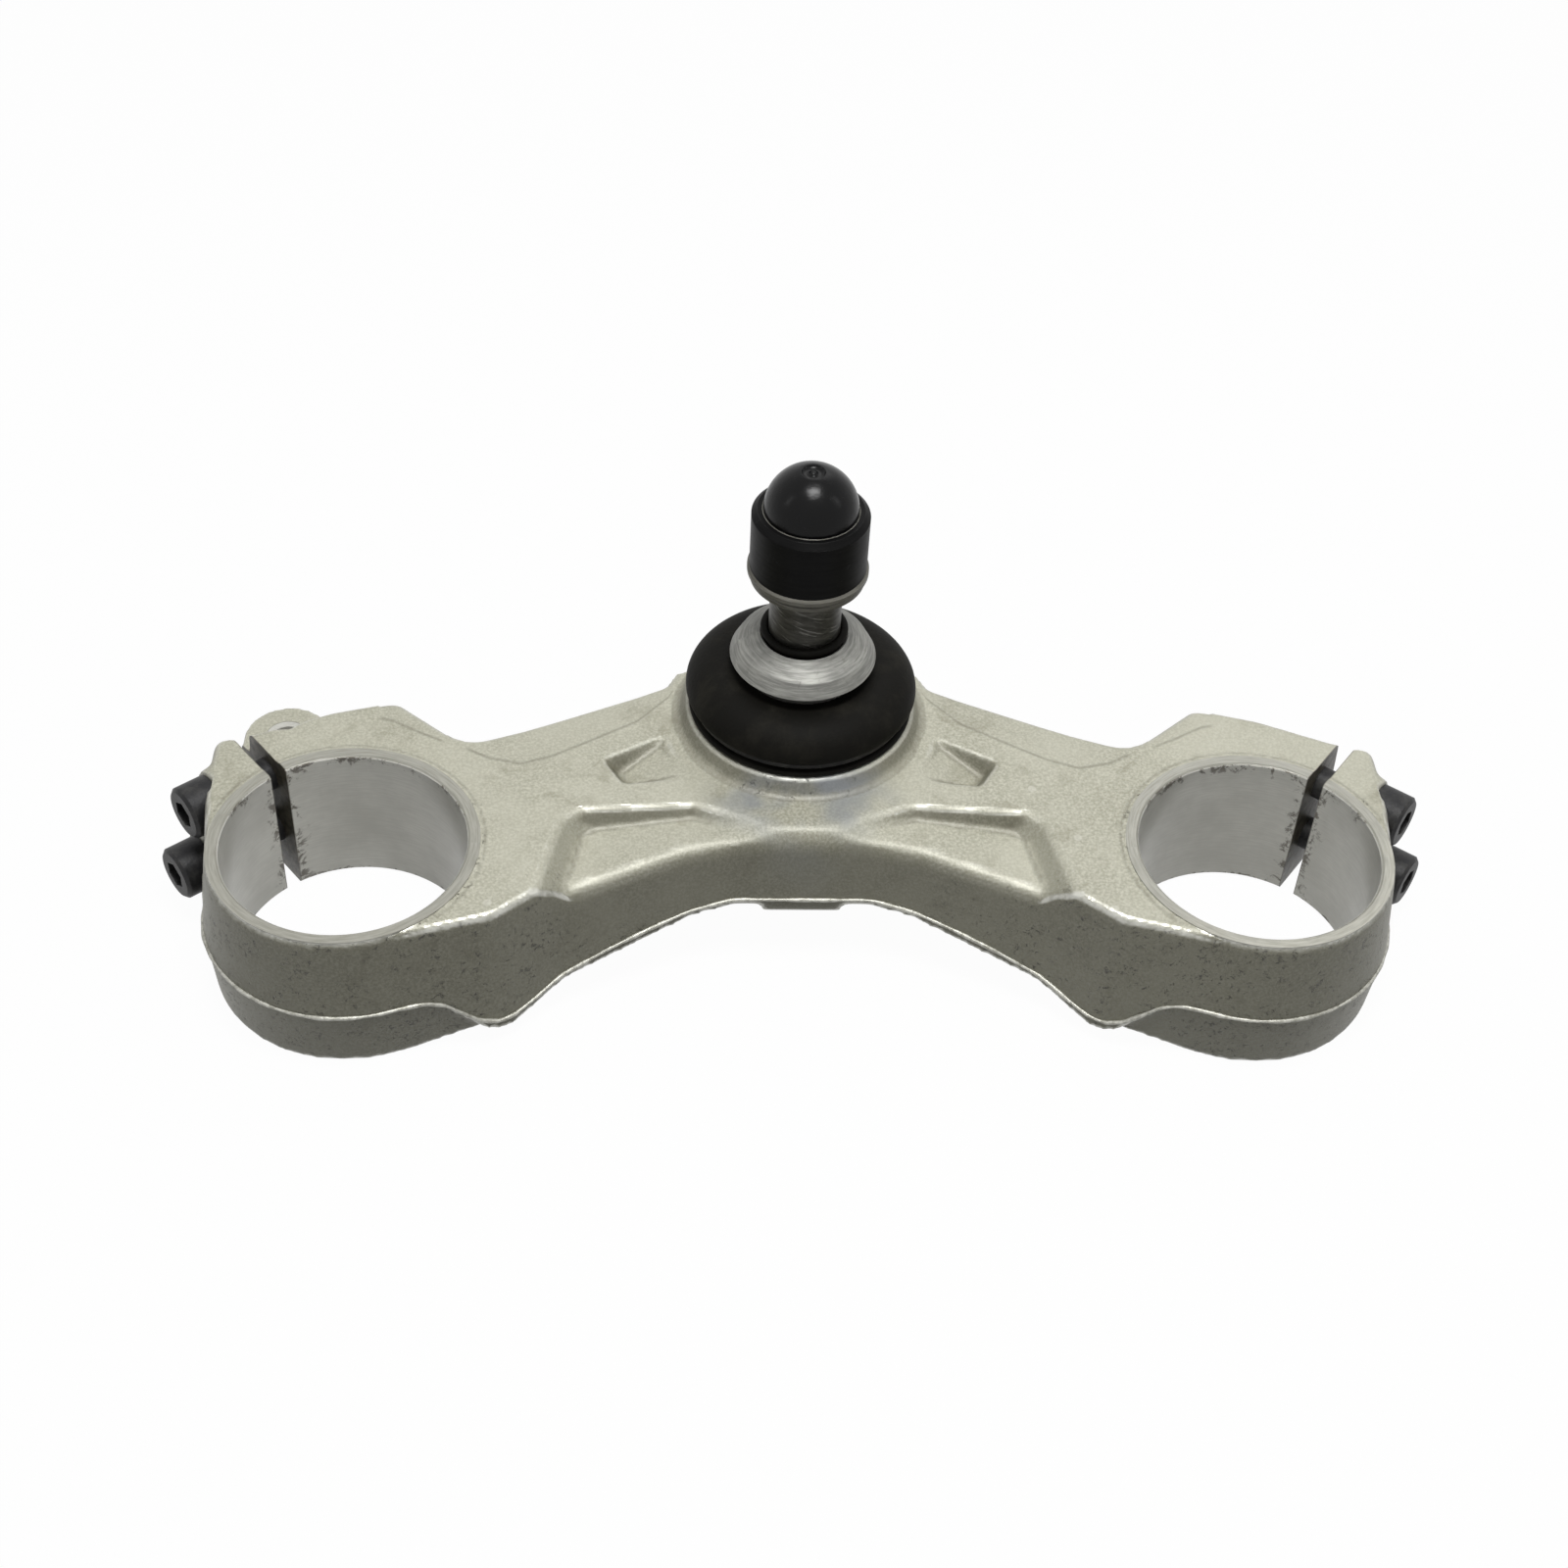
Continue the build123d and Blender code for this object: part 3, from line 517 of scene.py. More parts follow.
def turned_material(name, dark, light, metallic, rough, rings, depth, worn_colour, worn_share,
                    dirt=0.0, scratch=0.0, gloss=0.25):
    """A turned piece on the pin: fine rings round its axis, slanting scratches and worn edges."""
    made, tree, shader = new_material(name, light, metallic, rough, Specular_IOR_Level=gloss)
    where = object_place(tree)
    x, y, z = split(tree, where)
    from_y = minus(tree, y, STUD_Y)
    angle = calc(tree, "ARCTAN2", from_y, x)
    lathe_place = add(tree, "CombineXYZ", {0: length2(tree, x, from_y),
                                           1: times(tree, angle, 0.0012), 2: z})
    lines = noise(tree, lathe_place, rings, 3, 0.65)
    patch = noise(tree, where, 130, 4, 0.6)
    nick = step(tree, noise(tree, where, 520, 4, 0.7), 0.60, 0.74)
    soft, edge = rounded(tree, 0.00035)
    colour = blend(tree, step(tree, lines, 0.28, 0.72), dark, light)
    colour = paint(tree, colour, step(tree, patch, 0.5, 0.75), 0.35 + dirt, dark)
    if scratch:
        around = times(tree, angle, 0.0085)
        slant = add(tree, "CombineXYZ", {0: plus(tree, times(tree, around, 0.35), z),
                                         1: times(tree, around, 0.08)})
        marks = noise(tree, slant, 1500, 4, 0.7)
        colour = paint(tree, colour, step(tree, marks, 0.56, 0.66), scratch, worn_colour)
        colour = paint(tree, colour, step(tree, marks, 0.44, 0.34), scratch, SCRATCH_DARK)
    colour = paint(tree, colour, nick, dirt, NICK)
    worn = times(tree, step(tree, edge, 0.02, 0.15), step(tree, patch, 0.35, 0.60))
    colour = paint(tree, colour, worn, worn_share, worn_colour)
    height = plus(tree, lines, times(tree, nick, -0.8))
    roughness = spread(tree, patch, rough - 0.08, rough + 0.12)
    connect(tree, shader, colour, roughness, bump(tree, height, depth, soft))
    return made


def dome_material():
    """Glossy black plastic with faint scuffs."""
    made, tree, shader = new_material("gloss_black_cap", DOME_BLACK, 0.0, 0.16,
                                      Specular_IOR_Level=0.16)
    where = object_place(tree)
    haze = noise(tree, where, 160, 5, 0.65)
    scuff = step(tree, noise(tree, where, 900, 4, 0.7, 1.5), 0.62, 0.72)
    colour = paint(tree, DOME_BLACK, scuff, 0.4, DOME_SCUFF)
    roughness = plus(tree, spread(tree, haze, 0.16, 0.30), times(tree, scuff, 0.2))
    connect(tree, shader, colour, roughness, bump(tree, haze, 0.00012))
    return made


def rubber_material():
    """Matt black rubber with a dusty bloom in patches."""
    made, tree, shader = new_material("boot_rubber", (0.012, 0.0115, 0.009), 0.0, 0.62,
                                      Specular_IOR_Level=0.07)
    where = object_place(tree)
    dust = noise(tree, where, 95, 5, 0.65)
    grain = noise(tree, where, 1300, 3, 0.6)
    colour = blend(tree, step(tree, dust, 0.42, 0.72), RUBBER_DARK, RUBBER_DUST)
    height = plus(tree, times(tree, grain, 0.5), dust)
    connect(tree, shader, colour, spread(tree, dust, 0.48, 0.72), bump(tree, height, 0.00014))
    return made


def bolt_material():
    """Black oxide steel, rubbed to grey on its edges."""
    made, tree, shader = new_material("black_oxide", (0.022, 0.022, 0.023), 0.2, 0.45,
                                      Specular_IOR_Level=0.3)
    where = object_place(tree)
    soft, edge = rounded(tree, 0.0004)
    patch = noise(tree, where, 260, 5, 0.65)
    grain = noise(tree, where, 1500, 3, 0.6)
    colour = blend(tree, step(tree, patch, 0.40, 0.75), OXIDE_DARK, OXIDE_LIGHT)
    worn = times(tree, step(tree, edge, 0.03, 0.20), step(tree, patch, 0.40, 0.65))
    colour = paint(tree, colour, worn, 0.55, OXIDE_WORN)
    connect(tree, shader, colour, spread(tree, patch, 0.36, 0.62),
            bump(tree, grain, 0.00008, soft))
    return made


def hidden_plastic_material():
    """Pale bearing plastic of the ball seats."""
    made, tree, shader = new_material("seat_plastic", (0.62, 0.60, 0.52), 0.0, 0.42)
    tone = noise(tree, object_place(tree), 220, 4, 0.6)
    colour = blend(tree, tone, SEAT_DARK, SEAT_LIGHT)
    connect(tree, shader, colour, spread(tree, tone, 0.36, 0.5), bump(tree, tone, 0.00005))
    return made


def finish_node(name, material):
    """Gives a CAD node its material and smooth shading across its curved faces."""
    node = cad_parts[name]
    node.data.materials.clear()
    node.data.materials.append(material)
    weld = node.modifiers.new("weld", "WELD")
    weld.merge_threshold = WELD
    split_edges = node.modifiers.new("split", "EDGE_SPLIT")
    split_edges.split_angle = NODE_SPLIT
    split_edges.use_edge_sharp = False
    weighted = node.modifiers.new("weighted", "WEIGHTED_NORMAL")
    weighted.weight = NODE_WEIGHT
    weighted.keep_sharp = True


def new_object(name, data):
    made = bpy.data.objects.new(name, data)
    bpy.context.scene.collection.objects.link(made)
    return made


def shade_smooth(mesh):
    mesh.polygons.foreach_set("use_smooth", [True] * len(mesh.polygons))


def new_mesh(name, points, faces, material):
    mesh = bpy.data.meshes.new(name)
    mesh.from_pydata(points, [], faces)
    mesh.update()
    shade_smooth(mesh)
    mesh.materials.append(material)
    made = new_object(name, mesh)
    return made


def around_circle(count):
    return [2 * math.pi * i / count for i in range(count)]


def fork_frame(side):
    """A clamp's axis, and the unit vectors along and across its slot; side is 1 or -1."""
    centre = Vector((side * FORK_X, FORK_Y, 0))
    along = Vector((side * math.cos(SLOT_ANGLE), math.sin(SLOT_ANGLE), 0))
    across = Vector((side * math.sin(SLOT_ANGLE), -math.cos(SLOT_ANGLE), 0))
    return centre, along, across


def add_cylinder(bm, place_at, radius, low, high):
    middle = Matrix.Translation((place_at[0], place_at[1], (low + high) / 2))
    bmesh.ops.create_cone(bm, cap_ends=True, segments=CYLINDER_SIDES, radius1=radius,
                          radius2=radius, depth=high - low, matrix=middle)


def add_turned(bm, place_at, section, sides):
    """A closed turned block from its half section, radius and height, from the bottom up."""
    loops = []
    for r, z in section:
        loops.append([bm.verts.new((place_at[0] + r * math.cos(a), place_at[1] + r * math.sin(a), z))
                      for a in around_circle(sides)])
    for low, high in zip(loops, loops[1:]):
        for i in range(sides):
            k = (i + 1) % sides
            bm.faces.new((low[i], low[k], high[k], high[i]))
    bm.faces.new(reversed(loops[0]))
    bm.faces.new(loops[-1])


def add_prism(bm, corners, shift_low, shift_high):
    """A closed three-sided prism: a triangle swept between two shifts."""
    low = [bm.verts.new(c + shift_low) for c in corners]
    high = [bm.verts.new(c + shift_high) for c in corners]
    bm.faces.new(reversed(low))
    bm.faces.new(high)
    for i in range(3):
        k = (i + 1) % 3
        bm.faces.new((low[i], low[k], high[k], high[i]))


def to_object(bm, name):
    mesh = bpy.data.meshes.new(name)
    bm.normal_update()
    bm.to_mesh(mesh)
    bm.free()
    return new_object(name, mesh)


def add_boolean(obj, operation, tool):
    cut = obj.modifiers.new(operation, "BOOLEAN")
    cut.operation = operation
    cut.solver = "MANIFOLD"
    cut.object = tool


def applied(obj):
    """The mesh of an object with its modifiers worked out; the object itself goes."""
    bpy.context.view_layer.update()
    worked_out = obj.evaluated_get(bpy.context.evaluated_depsgraph_get())
    mesh = bpy.data.meshes.new_from_object(worked_out)
    bpy.data.objects.remove(obj)
    return mesh


def hull(points, name):
    """A closed convex block round some points."""
    bm = bmesh.new()
    for point in points:
        bm.verts.new(point)
    bmesh.ops.convex_hull(bm, input=bm.verts)
    return to_object(bm, name)


def saddle_cutter():
    """What the web's front edge loses between the two pockets."""
    high = RING_Z + CUT_OUT
    points = []
    for side in (1, -1):
        points += [(side * CUT_HALF, CREST_Y, TOP_Z), (side * LIP_HALF, LIP_Y, LIP_Z),
                   (side * CUT_HALF, CREST_Y, high), (side * CUT_HALF, LIP_Y, high)]
    return hull(points, "saddle_cutter")


def saddle_filler():
    """What fills the tips of the two pockets, so that a broad saddle runs between them."""
    points = []
    for side in (1, -1):
        points += [(side * CREST_HALF, CREST_Y, TOP_Z), (side * CREST_HALF, SADDLE_REAR_Y, TOP_Z),
                   (side * FOOT_HALF, FOOT_Y, FOOT_Z), (side * FOOT_HALF, SADDLE_REAR_Y, FOOT_Z)]
    return hull(points, "saddle_filler")


def with_saddle_cut():
    """The bridge's mesh, welded, with the saddle's front cut."""
    raw = new_object("raw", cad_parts["fork_bridge"].data)
    raw.modifiers.new("weld", "WELD").merge_threshold = WELD
    tool = saddle_cutter()
    add_boolean(raw, "DIFFERENCE", tool)
    mesh = applied(raw)
    bpy.data.objects.remove(tool)
    return mesh


def slot_filling(bm):
    """The triangles of one wall of each slot, and the direction across it."""
    found = []
    for side in (1, -1):
        centre, along, across = fork_frame(side)
        for face in bm.faces:
            offset = face.calc_center_median() - centre
            on_wall = (abs(offset.dot(across) + SLOT_HALF) < SLOT_WALL_SLACK
                       and face.normal.dot(across) > 0.99)
            if on_wall and offset.dot(along) > SLOT_WALL_FROM:
                corners = [v.co.copy() for v in face.verts]
                for i in range(1, len(corners) - 1):
                    found.append(((corners[0], corners[i], corners[i + 1]), across))
    return found


def unmachined_casting():
    """The bridge before machining: its solid with the fork bores, slots and lug hole filled."""
    bm = bmesh.new()
    bm.from_mesh(with_saddle_cut())
    for corners, across in slot_filling(bm):
        add_prism(bm, corners, across * -SLOT_FILL, across * (2 * SLOT_HALF + SLOT_FILL))
    for side in (1, -1):
        add_cylinder(bm, (side * FORK_X, FORK_Y), BORE_R + BORE_FILL, 0.0, TOP_Z)
    add_cylinder(bm, LUG, LUG_HOLE_R + LUG_FILL, LUG_LOW_Z, LUG_TOP_Z)
    filler = saddle_filler()
    bm.from_mesh(filler.data)
    bpy.data.objects.remove(filler)
    return to_object(bm, "unmachined")


def crease_top(points):
    """Lowers the top face behind its creases, a little more towards the rear edge."""
    across = np.abs(points[:, 0]) * TO_MM
    share = np.clip((points[:, 2] - CREASE_END_Z) / CREASE_FADE_Z, 0.0, 1.0)
    for crease in CREASES:
        xs, ys = zip(*crease)
        behind = np.clip(points[:, 1] * TO_MM - np.interp(across, xs, ys), 0.0, None)
        behind[(across < xs[0]) | (across > xs[-1])] = 0.0
        points[:, 2] -= MM * CREASE_FALL * share * behind**2 / (behind + CREASE_SOFT)


def saddle_weight(points):
    """1 on the saddle between the front pockets, fading to 0 round it."""
    weight = np.clip((SADDLE_END_X - np.abs(points[:, 0])) / SADDLE_FADE_X, 0.0, 1.0)
    weight *= np.clip((SADDLE_END_Y - points[:, 1]) / SADDLE_FADE_Y, 0.0, 1.0)
    weight *= np.clip((points[:, 2] - SADDLE_END_Z) / SADDLE_FADE_Z, 0.0, 1.0)
    return weight


def smoothed(mesh):
    """Rounds the cast edges. Gives each point's new place, and a mark from 0 to 1 that is over a half
    on outer edges and under it in hollows."""
    count = len(mesh.vertices)
    before = np.empty(count * 3)
    mesh.vertices.foreach_get("co", before)
    before = before.reshape(-1, 3)
    normals = np.empty(count * 3)
    mesh.vertices.foreach_get("normal", normals)
    pairs = np.empty(len(mesh.edges) * 2, np.int64)
    mesh.edges.foreach_get("vertices", pairs)
    pairs = pairs.reshape(-1, 2)
    ends = np.concatenate([pairs[:, 0], pairs[:, 1]])
    others = np.concatenate([pairs[:, 1], pairs[:, 0]])
    degree = np.bincount(ends, minlength=count)[:, None]

    def to_neighbours(points):
        total = np.stack([np.bincount(ends, points[others, k], count) for k in range(3)], 1)
        return total / degree - points

    after = before.copy()
    for _ in range(CAST_PASSES):
        after += SMOOTH_SHARE * to_neighbours(after)
    moved = ((after - before) * normals.reshape(-1, 3)).sum(1)
    weight = saddle_weight(before)
    moved *= 1.0 - SADDLE_FADE * weight
    for _ in range(SADDLE_PASSES):
        after += SMOOTH_SHARE * weight[:, None] * to_neighbours(after)
    crease_top(after)
    mesh.vertices.foreach_set("co", after.ravel())
    mesh.update()
    return after, np.clip(0.5 - moved / EDGE_MOVE, 0.0, 1.0)


def bore_cutter():
    """Bores with their edge chamfers and the lug's hole, as one cutting shape."""
    bm = bmesh.new()
    wide = BORE_R + BORE_CHAMFER
    section = [(wide, -BORE_CUT_OUT), (wide, 0.0), (BORE_R, BORE_CHAMFER),
               (BORE_R, RING_Z - BORE_CHAMFER), (wide, RING_Z), (wide, RING_Z + BORE_CUT_OUT)]
    for side in (1, -1):
        add_turned(bm, (side * FORK_X, FORK_Y), section, BORE_SIDES)
    lug_wide = LUG_HOLE_R + LUG_CHAMFER
    lug_section = [(LUG_HOLE_R, LUG_LOW_Z - LUG_CUT_OUT), (LUG_HOLE_R, LUG_TOP_Z - LUG_CHAMFER),
                   (lug_wide, LUG_TOP_Z), (lug_wide, LUG_TOP_Z + LUG_CUT_OUT)]
    add_turned(bm, LUG, lug_section, LUG_SIDES)
    return to_object(bm, "bore_cutter")


def slot_cutter():
    """A block along each slot, from inside its bore to past the ears."""
    bm = bmesh.new()
    outline = [(SLOT_CUT_FROM, -1), (SLOT_CUT_TO, -1), (SLOT_CUT_TO, 1), (SLOT_CUT_FROM, 1)]
    box = [(0, 1, 2, 3), (7, 6, 5, 4), (4, 5, 1, 0), (5, 6, 2, 1), (6, 7, 3, 2), (7, 4, 0, 3)]
    for side in (1, -1):
        centre, along, across = fork_frame(side)
        corners = []
        for z in SLOT_CUT_HEIGHTS:
            for a, b in outline:
                spot = centre + along * a + across * (b * SLOT_HALF) + Vector((0, 0, z))
                corners.append(bm.verts.new(spot))
        for face in box:
            bm.faces.new([corners[i] for i in face])
    bmesh.ops.recalc_face_normals(bm, faces=bm.faces)
    return to_object(bm, "slot_cutter")


def ring_lands():
    bm = bmesh.new()
    for side in (1, -1):
        add_cylinder(bm, (side * FORK_X, FORK_Y), RING_R, 0.0, RING_Z)
    return to_object(bm, "ring_lands")


def mark_edges(mesh, places, edges):
    """Gives each point the edge value of the smoothed point nearest to it."""
    near = kdtree.KDTree(len(places))
    for number, point in enumerate(places):
        near.insert(point, number)
    near.balance()
    values = [edges[near.find(v.co)[1]] for v in mesh.vertices]
    mesh.attributes.new("edge", "FLOAT", "POINT").data.foreach_set("value", values)


def make_casting(material):
    """The bridge as cast, with soft edges, and then machined: rings, bores, slots and lug hole."""
    raw = unmachined_casting()
    remesh = raw.modifiers.new("remesh", "REMESH")
    remesh.mode = "VOXEL"
    remesh.voxel_size = CAST_GRID
    cast = applied(raw)
    places, edges = smoothed(cast)
    body = new_object("casting", cast)
    body.modifiers.new("fewer", "DECIMATE").ratio = CAST_KEEP
    tools = [("UNION", ring_lands()), ("DIFFERENCE", bore_cutter()), ("DIFFERENCE", slot_cutter())]
    for operation, tool in tools:
        add_boolean(body, operation, tool)
    mesh = applied(body)
    for _, tool in tools:
        bpy.data.objects.remove(tool)
    mark_edges(mesh, places, edges)
    shade_smooth(mesh)
    mesh.set_sharp_from_angle(angle=CAST_SHARP)
    mesh.materials.clear()
    mesh.materials.append(material)
    skin = new_object("bridge_casting", mesh)
    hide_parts("fork_bridge")
    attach(skin, "bridge")
    return skin


def smooth_loop(points, per_span):
    """Points on a closed Catmull-Rom curve through the given ones."""
    count = len(points)
    made = []
    for i in range(count):
        a, b, c, d = (Vector(points[(i + k) % count]) for k in (-1, 0, 1, 2))
        for j in range(per_span):
            t = j / per_span
            made.append(0.5 * (2 * b + (c - a) * t + (2 * a - 5 * b + 4 * c - d) * t**2
                               + (3 * b - a - 3 * c + d) * t**3))
    return made


def lathe(name, section, material, sides=TURNED_SIDES):
    """A closed turned mesh on the pin's axis from its section, radius and height in millimetres."""
    points, faces = [], []
    size = len(section)
    for a in around_circle(sides):
        points += [(r * MM * math.cos(a), STUD_Y + r * MM * math.sin(a), z * MM) for r, z in section]
    for i in range(sides):
        first, second = i * size, (i + 1) % sides * size
        for j in range(size):
            k = (j + 1) % size
            faces.append((first + j, second + j, second + k, first + k))
    return new_mesh(name, points, faces, material)


def make_boot(material):
    """The rubber boot: a double lip at the foot, a full bulge, and a lip that hugs the pin."""
    section = [(p.x, p.y) for p in smooth_loop(BOOT_OUTER + BOOT_INNER, BOOT_PER_SPAN)]
    boot = lathe("boot_skin", section, material, BOOT_SIDES)
    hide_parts("boot")
    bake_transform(boot)


def make_dome(material):
    """The domed cap, with the sunk gate mark and its nub at the top."""
    turn = [math.radians(DOME_FROM - DOME_FROM * i / DOME_STEPS) for i in range(DOME_STEPS + 1)]
    ball = [(DOME_R * math.cos(a), DOME_MIDDLE + DOME_R * math.sin(a)) for a in turn]
    dome = lathe("dome_skin", DOME_GATE + ball + DOME_FOOT, material)
    bm = bmesh.new()
    bm.from_mesh(dome.data)
    bmesh.ops.remove_doubles(bm, verts=bm.verts, dist=DOME_WELD)
    bm.to_mesh(dome.data)
    bm.free()
    dome.data.set_sharp_from_angle(angle=DOME_SHARP)
    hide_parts("dome_cap")
    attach(dome, "stud")


def make_ring(name, radius, height, tube, material, body):
    section = [(radius + tube * math.cos(a), height + tube * math.sin(a))
               for a in around_circle(SEAM_TUBE_SIDES)]
    ring = lathe(name, section, material)
    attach(ring, body)


def parting_height(x):
    across = abs(x) * TO_MM
    for (x0, z0), (x1, z1) in zip(PARTING, PARTING[1:]):
        if across <= x1:
            t = (across - x0) / (x1 - x0)
            return MM * (z0 + (z1 - z0) * t)
    return MM * PARTING[-1][1]


def on_outer_wall(point, normal):
    """True where the parting line shows: on steep outer walls, clear of the bores, slots and pin."""
    if abs(normal.z) > WALL_NORMAL_Z:
        return False
    from_x = abs(point.x) - FORK_X
    from_y = point.y - FORK_Y
    if math.hypot(from_x, from_y) < CLEAR_OF_BORE:
        return False
    across = from_x * math.sin(SLOT_ANGLE) - from_y * math.cos(SLOT_ANGLE)
    if from_y > CLEAR_OF_SLOT_FROM and abs(across) < CLEAR_OF_SLOT:
        return False
    return math.hypot(point.x, point.y - STUD_Y) > CLEAR_OF_PIN


def parting_segments(mesh):
    """Where the casting's outer walls cross the parting height, as short segments."""
    found = []
    for face in mesh.polygons:
        corners = [mesh.vertices[i].co for i in face.vertices]
        heights = [c.z - parting_height(c.x) for c in corners]
        cuts = []
        for i in range(len(corners)):
            j = (i + 1) % len(corners)
            if (heights[i] > 0) != (heights[j] > 0):
                share = heights[i] / (heights[i] - heights[j])
                cuts.append(corners[i].lerp(corners[j], share))
        if len(cuts) == 2 and (cuts[0] - cuts[1]).length > 1e-6:
            if on_outer_wall((cuts[0] + cuts[1]) / 2, face.normal):
                found.append((cuts[0], cuts[1]))
    return found


def rough_place(point):
    return tuple(round(c * POINT_GRID) for c in point)


def chained(segments):
    """Joins segments end to end into lines."""
    ends = {}
    for number, pair in enumerate(segments):
        for point in pair:
            ends.setdefault(rough_place(point), []).append(number)
    left = set(range(len(segments)))
    lines = []
    while left:
        number = min(left)
        left.discard(number)
        line = list(segments[number])
        for flip in (False, True):
            if flip:
                line.reverse()
            while True:
                key = rough_place(line[-1])
                following = [n for n in ends.get(key, []) if n in left]
                if not following:
                    break
                left.discard(following[0])
                a, b = segments[following[0]]
                line.append(b if rough_place(a) == key else a)
        lines.append(line)
    return lines


def evened(line, spacing):
    """The same line with points about a set distance apart."""
    lengths = [0.0]
    for a, b in zip(line, line[1:]):
        lengths.append(lengths[-1] + (b - a).length)
    count = max(2, int(lengths[-1] / spacing) + 1)
    made, at = [], 0
    for i in range(count):
        goal = lengths[-1] * i / (count - 1)
        while at < len(lengths) - 2 and lengths[at + 1] < goal:
            at += 1
        span = max(lengths[at + 1] - lengths[at], 1e-9)
        made.append(line[at].lerp(line[at + 1], min(1.0, (goal - lengths[at]) / span)))
    return made


def swept(path, number):
    """Points and faces of a thin round ridge along a path, uneven in size and tapered at its ends."""
    points, faces = [], []
    last = len(path) - 1
    sides = RIDGE_SIDES
    for i, p in enumerate(path):
        along = (path[min(i + 1, last)] - path[max(i - 1, 0)]).normalized()
        out = along.cross(Vector((0, 0, 1))).normalized()
        up = out.cross(along).normalized()
        taper = min(1.0, 0.25 + 0.25 * min(i, last - i))
        wave = 1.0 + 0.18 * math.sin(i * 0.37 + number) + 0.12 * math.sin(i * 1.13)
        size = taper * wave
        for a in around_circle(sides):
            points.append(p + out * (RIDGE_OUT * size * math.cos(a))
                          + up * (RIDGE_UP * size * math.sin(a)))
    for i in range(last):
        low, high = i * sides, (i + 1) * sides
        for k in range(sides):
            m = (k + 1) % sides
            faces.append((low + k, low + m, high + m, high + k))
    faces.append(tuple(range(sides - 1, -1, -1)))
    faces.append(tuple(range(last * sides, len(path) * sides)))
    return points, faces


def make_ridges(mesh, material):
    """The raised flash line round the casting's outer walls, swept along the parting height."""
    number = 0
    for line in chained(parting_segments(mesh)):
        path = evened(line, RIDGE_STEP)
        if len(path) < RIDGE_LEAST_POINTS:
            continue
        number += 1
        points, faces = swept(path, number)
        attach(new_mesh(f"parting_ridge_{number}", points, faces, material), "bridge")


def seen(tree):
    """1 for rays from the camera, off gloss and through glass, and 0 for the others."""
    rays = tree.nodes.new("ShaderNodeLightPath")
    return most(tree, rays.outputs["Is Camera Ray"], rays.outputs["Is Glossy Ray"],
                rays.outputs["Is Transmission Ray"])


def make_stage():
    """Pale floor under soft light: white to the camera, with the object's shadow."""
    bpy.ops.mesh.primitive_plane_add(size=FLOOR_SIZE, location=(0, 0, FLOOR_Z))
    floor = bpy.context.object
    floor.name = "floor"
    made, tree, shader = new_material("floor_white", (0.22, 0.22, 0.22), 0.0, 0.9,
                                      Specular_IOR_Level=0.0)
    glow = add(tree, "Emission", {"Color": (1, 1, 1, 1), "Strength": FLOOR_GLOW})
    mixed = add(tree, "MixShader", {0: times(tree, seen(tree), FLOOR_GLOW_SHARE),
                                    1: shader.outputs[0], 2: glow})
    tree.links.new(mixed, tree.nodes["Material Output"].inputs["Surface"])
    floor.data.materials.append(made)


def make_world():
    """White to the camera and in gloss, and a weak even light on the object."""
    world = bpy.data.worlds.new("studio")
    bpy.context.scene.world = world
    world.use_nodes = True
    tree = world.node_tree
    back = tree.nodes["Background"]
    back.inputs["Color"].default_value = (1, 1, 1, 1)
    strength = spread(tree, seen(tree), WORLD_LIGHT, WORLD_SEEN)
    tree.links.new(strength, back.inputs["Strength"])


def make_light(name, place_at, aim, size, power):
    data = bpy.data.lights.new(name, "AREA")
    data.shape = "RECTANGLE"
    data.size, data.size_y = size
    data.energy = power
    lamp = new_object(name, data)
    lamp.location = place_at
    lamp.rotation_euler = (Vector(aim) - Vector(place_at)).to_track_quat("-Z", "Y").to_euler()


def make_camera():
    back = Vector((math.sin(CAM_AZIMUTH) * math.cos(CAM_ELEVATION),
                   -math.cos(CAM_AZIMUTH) * math.cos(CAM_ELEVATION), math.sin(CAM_ELEVATION)))
    level = (-back).cross(Vector((0, 0, 1))).normalized()
    upright = level.cross(-back)
    right = level * math.cos(CAM_ROLL) + upright * math.sin(CAM_ROLL)
    up = upright * math.cos(CAM_ROLL) - level * math.sin(CAM_ROLL)
    data = bpy.data.cameras.new("camera")
    data.lens = CAM_LENS
    data.sensor_width = CAM_SENSOR
    camera = new_object("camera", data)
    turn = Matrix((right, up, back)).transposed().to_4x4()
    camera.matrix_world = Matrix.Translation(CAM_PLACE) @ turn
    bpy.context.scene.camera = camera


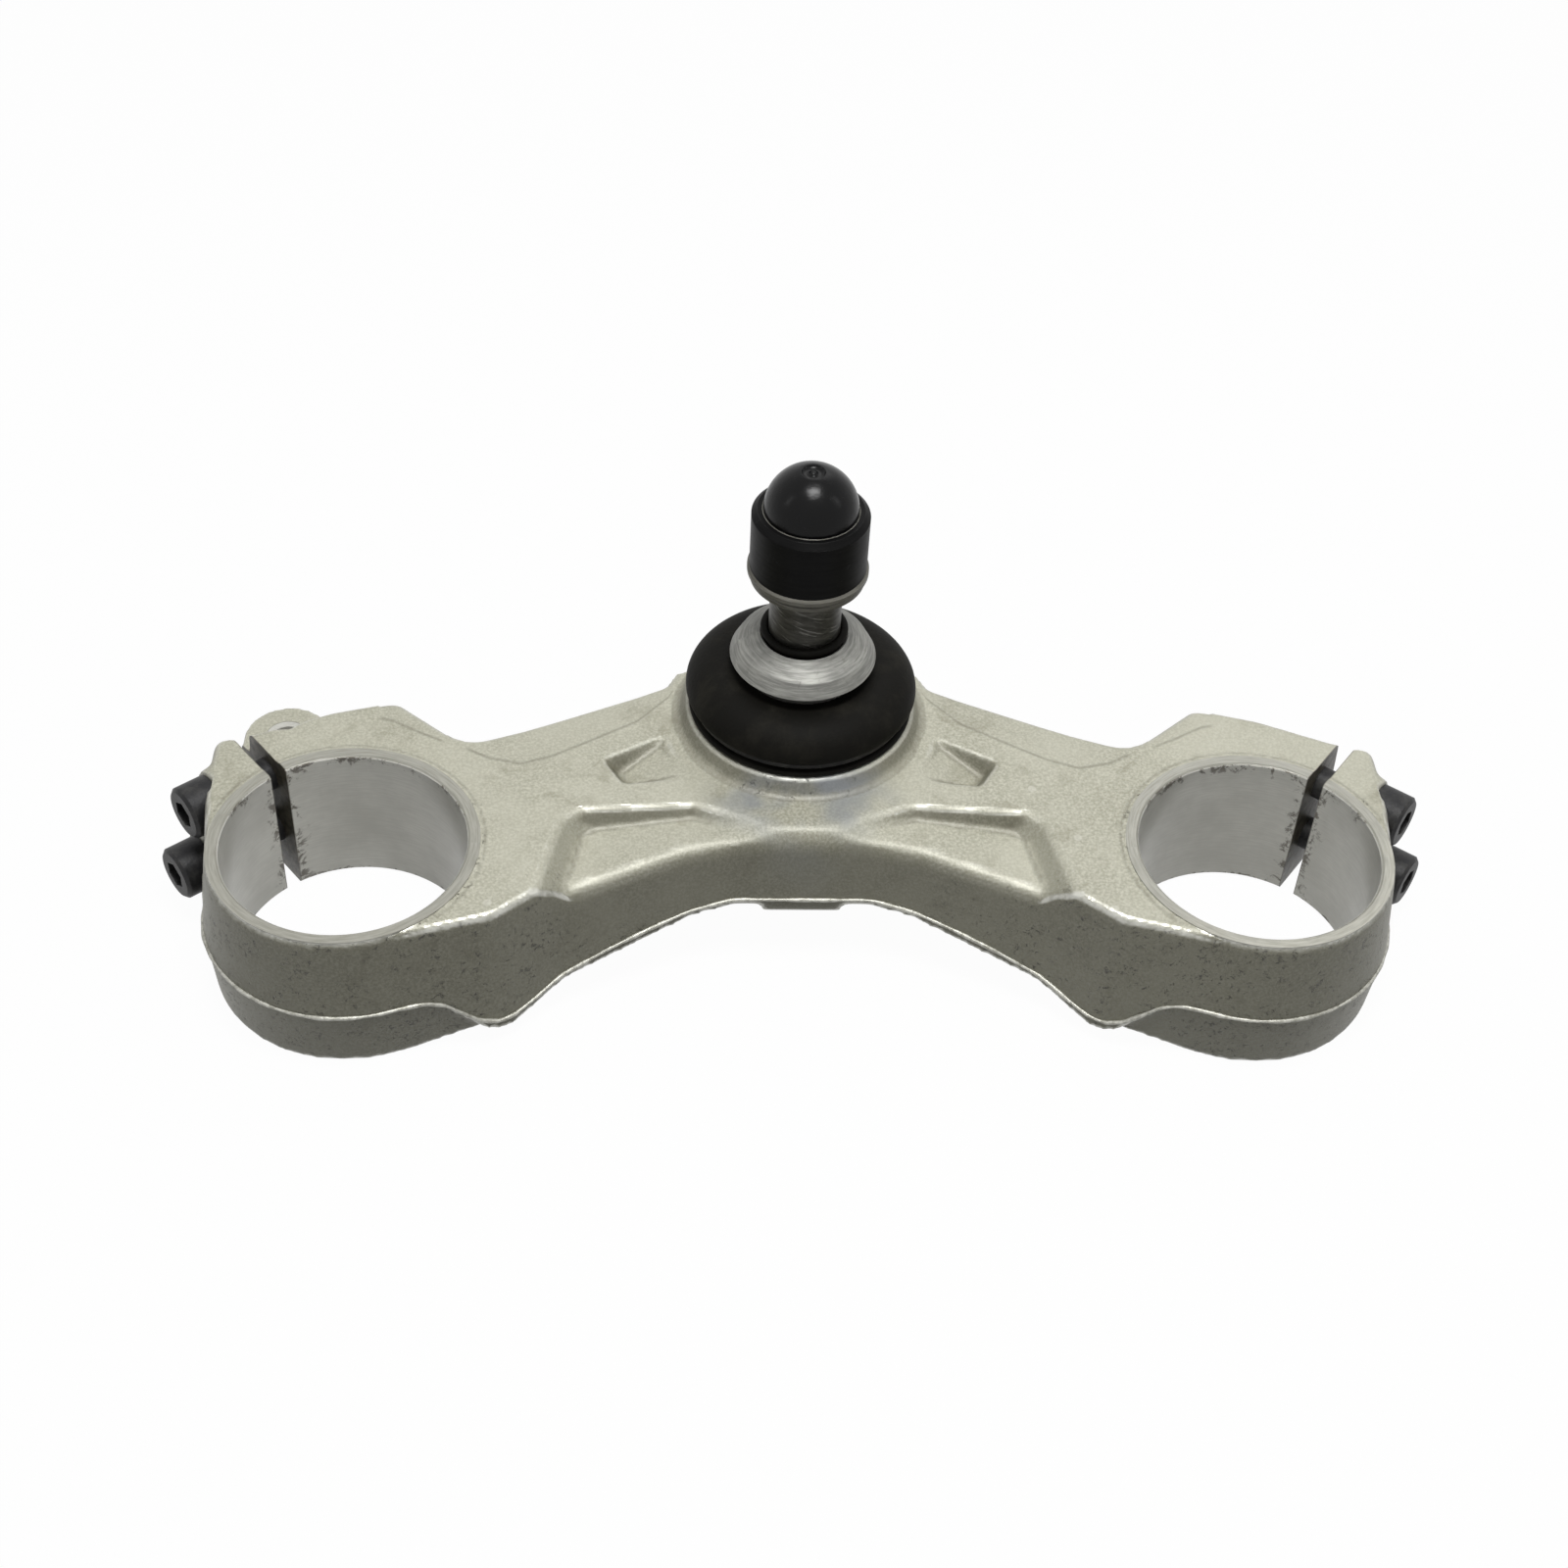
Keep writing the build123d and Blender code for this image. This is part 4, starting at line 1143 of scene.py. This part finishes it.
casting = casting_material()
flash = ridge_material()
rubber = rubber_material()
dome = dome_material()
oxide = bolt_material()
plastic = hidden_plastic_material()
collar_metal = turned_material(
    "turned_aluminium", dark=(0.20, 0.20, 0.185), light=(0.38, 0.38, 0.35), metallic=0.3, rough=0.48,
    rings=2000, depth=0.00006, worn_colour=(0.72, 0.72, 0.69), worn_share=0.7, dirt=0.2)
pin_steel = turned_material(
    "pin_steel", dark=(0.045, 0.044, 0.037), light=(0.11, 0.107, 0.095), metallic=0.35, rough=0.36,
    rings=1100, depth=0.00010, worn_colour=(0.36, 0.355, 0.33), worn_share=0.5, dirt=0.3,
    scratch=0.65, gloss=0.12)
flange_steel = turned_material(
    "flange_steel", dark=(0.09, 0.087, 0.072), light=(0.17, 0.165, 0.142), metallic=0.3, rough=0.42,
    rings=1000, depth=0.00006, worn_colour=(0.5, 0.49, 0.46), worn_share=0.7, dirt=0.25)
sleeve_black = turned_material(
    "satin_black_sleeve", dark=(0.003, 0.003, 0.003), light=(0.006, 0.006, 0.006), metallic=0.0,
    rough=0.42, rings=700, depth=0.00006, worn_colour=(0.10, 0.10, 0.10), worn_share=0.7, gloss=0.06)
plate_steel = turned_material(
    "plate_steel", dark=(0.26, 0.26, 0.25), light=(0.42, 0.42, 0.40), metallic=0.7, rough=0.4,
    rings=800, depth=0.00008, worn_colour=(0.6, 0.6, 0.58), worn_share=0.5, dirt=0.2)

FINISHES = {
    "pinch_bolt_right_upper": oxide,
    "pinch_bolt_right_lower": oxide,
    "pinch_bolt_left_upper": oxide,
    "pinch_bolt_left_lower": oxide,
    "ball_seat_upper": plastic,
    "ball_seat_lower": plastic,
    "closing_plate": plate_steel,
    "retaining_ring": oxide,
    "boot_clip": oxide,
    "seal_collar": collar_metal,
    "ball_stud": pin_steel,
    "thrust_washer": flange_steel,
    "flange_nut": flange_steel,
    "nut_sleeve": sleeve_black,
}
for node_name, node_material in FINISHES.items():
    finish_node(node_name, node_material)

bridge_skin = make_casting(casting)
make_boot(rubber)
make_dome(dome)
make_ridges(bridge_skin.data, flash)
make_ring("dome_seam", SEAM_R, SEAM_Z, SEAM_TUBE, flange_steel, "stud")
make_stage()
make_world()
for lamp in LAMPS:
    make_light(*lamp)
make_camera()

bpy.context.scene.view_settings.view_transform = "Standard"
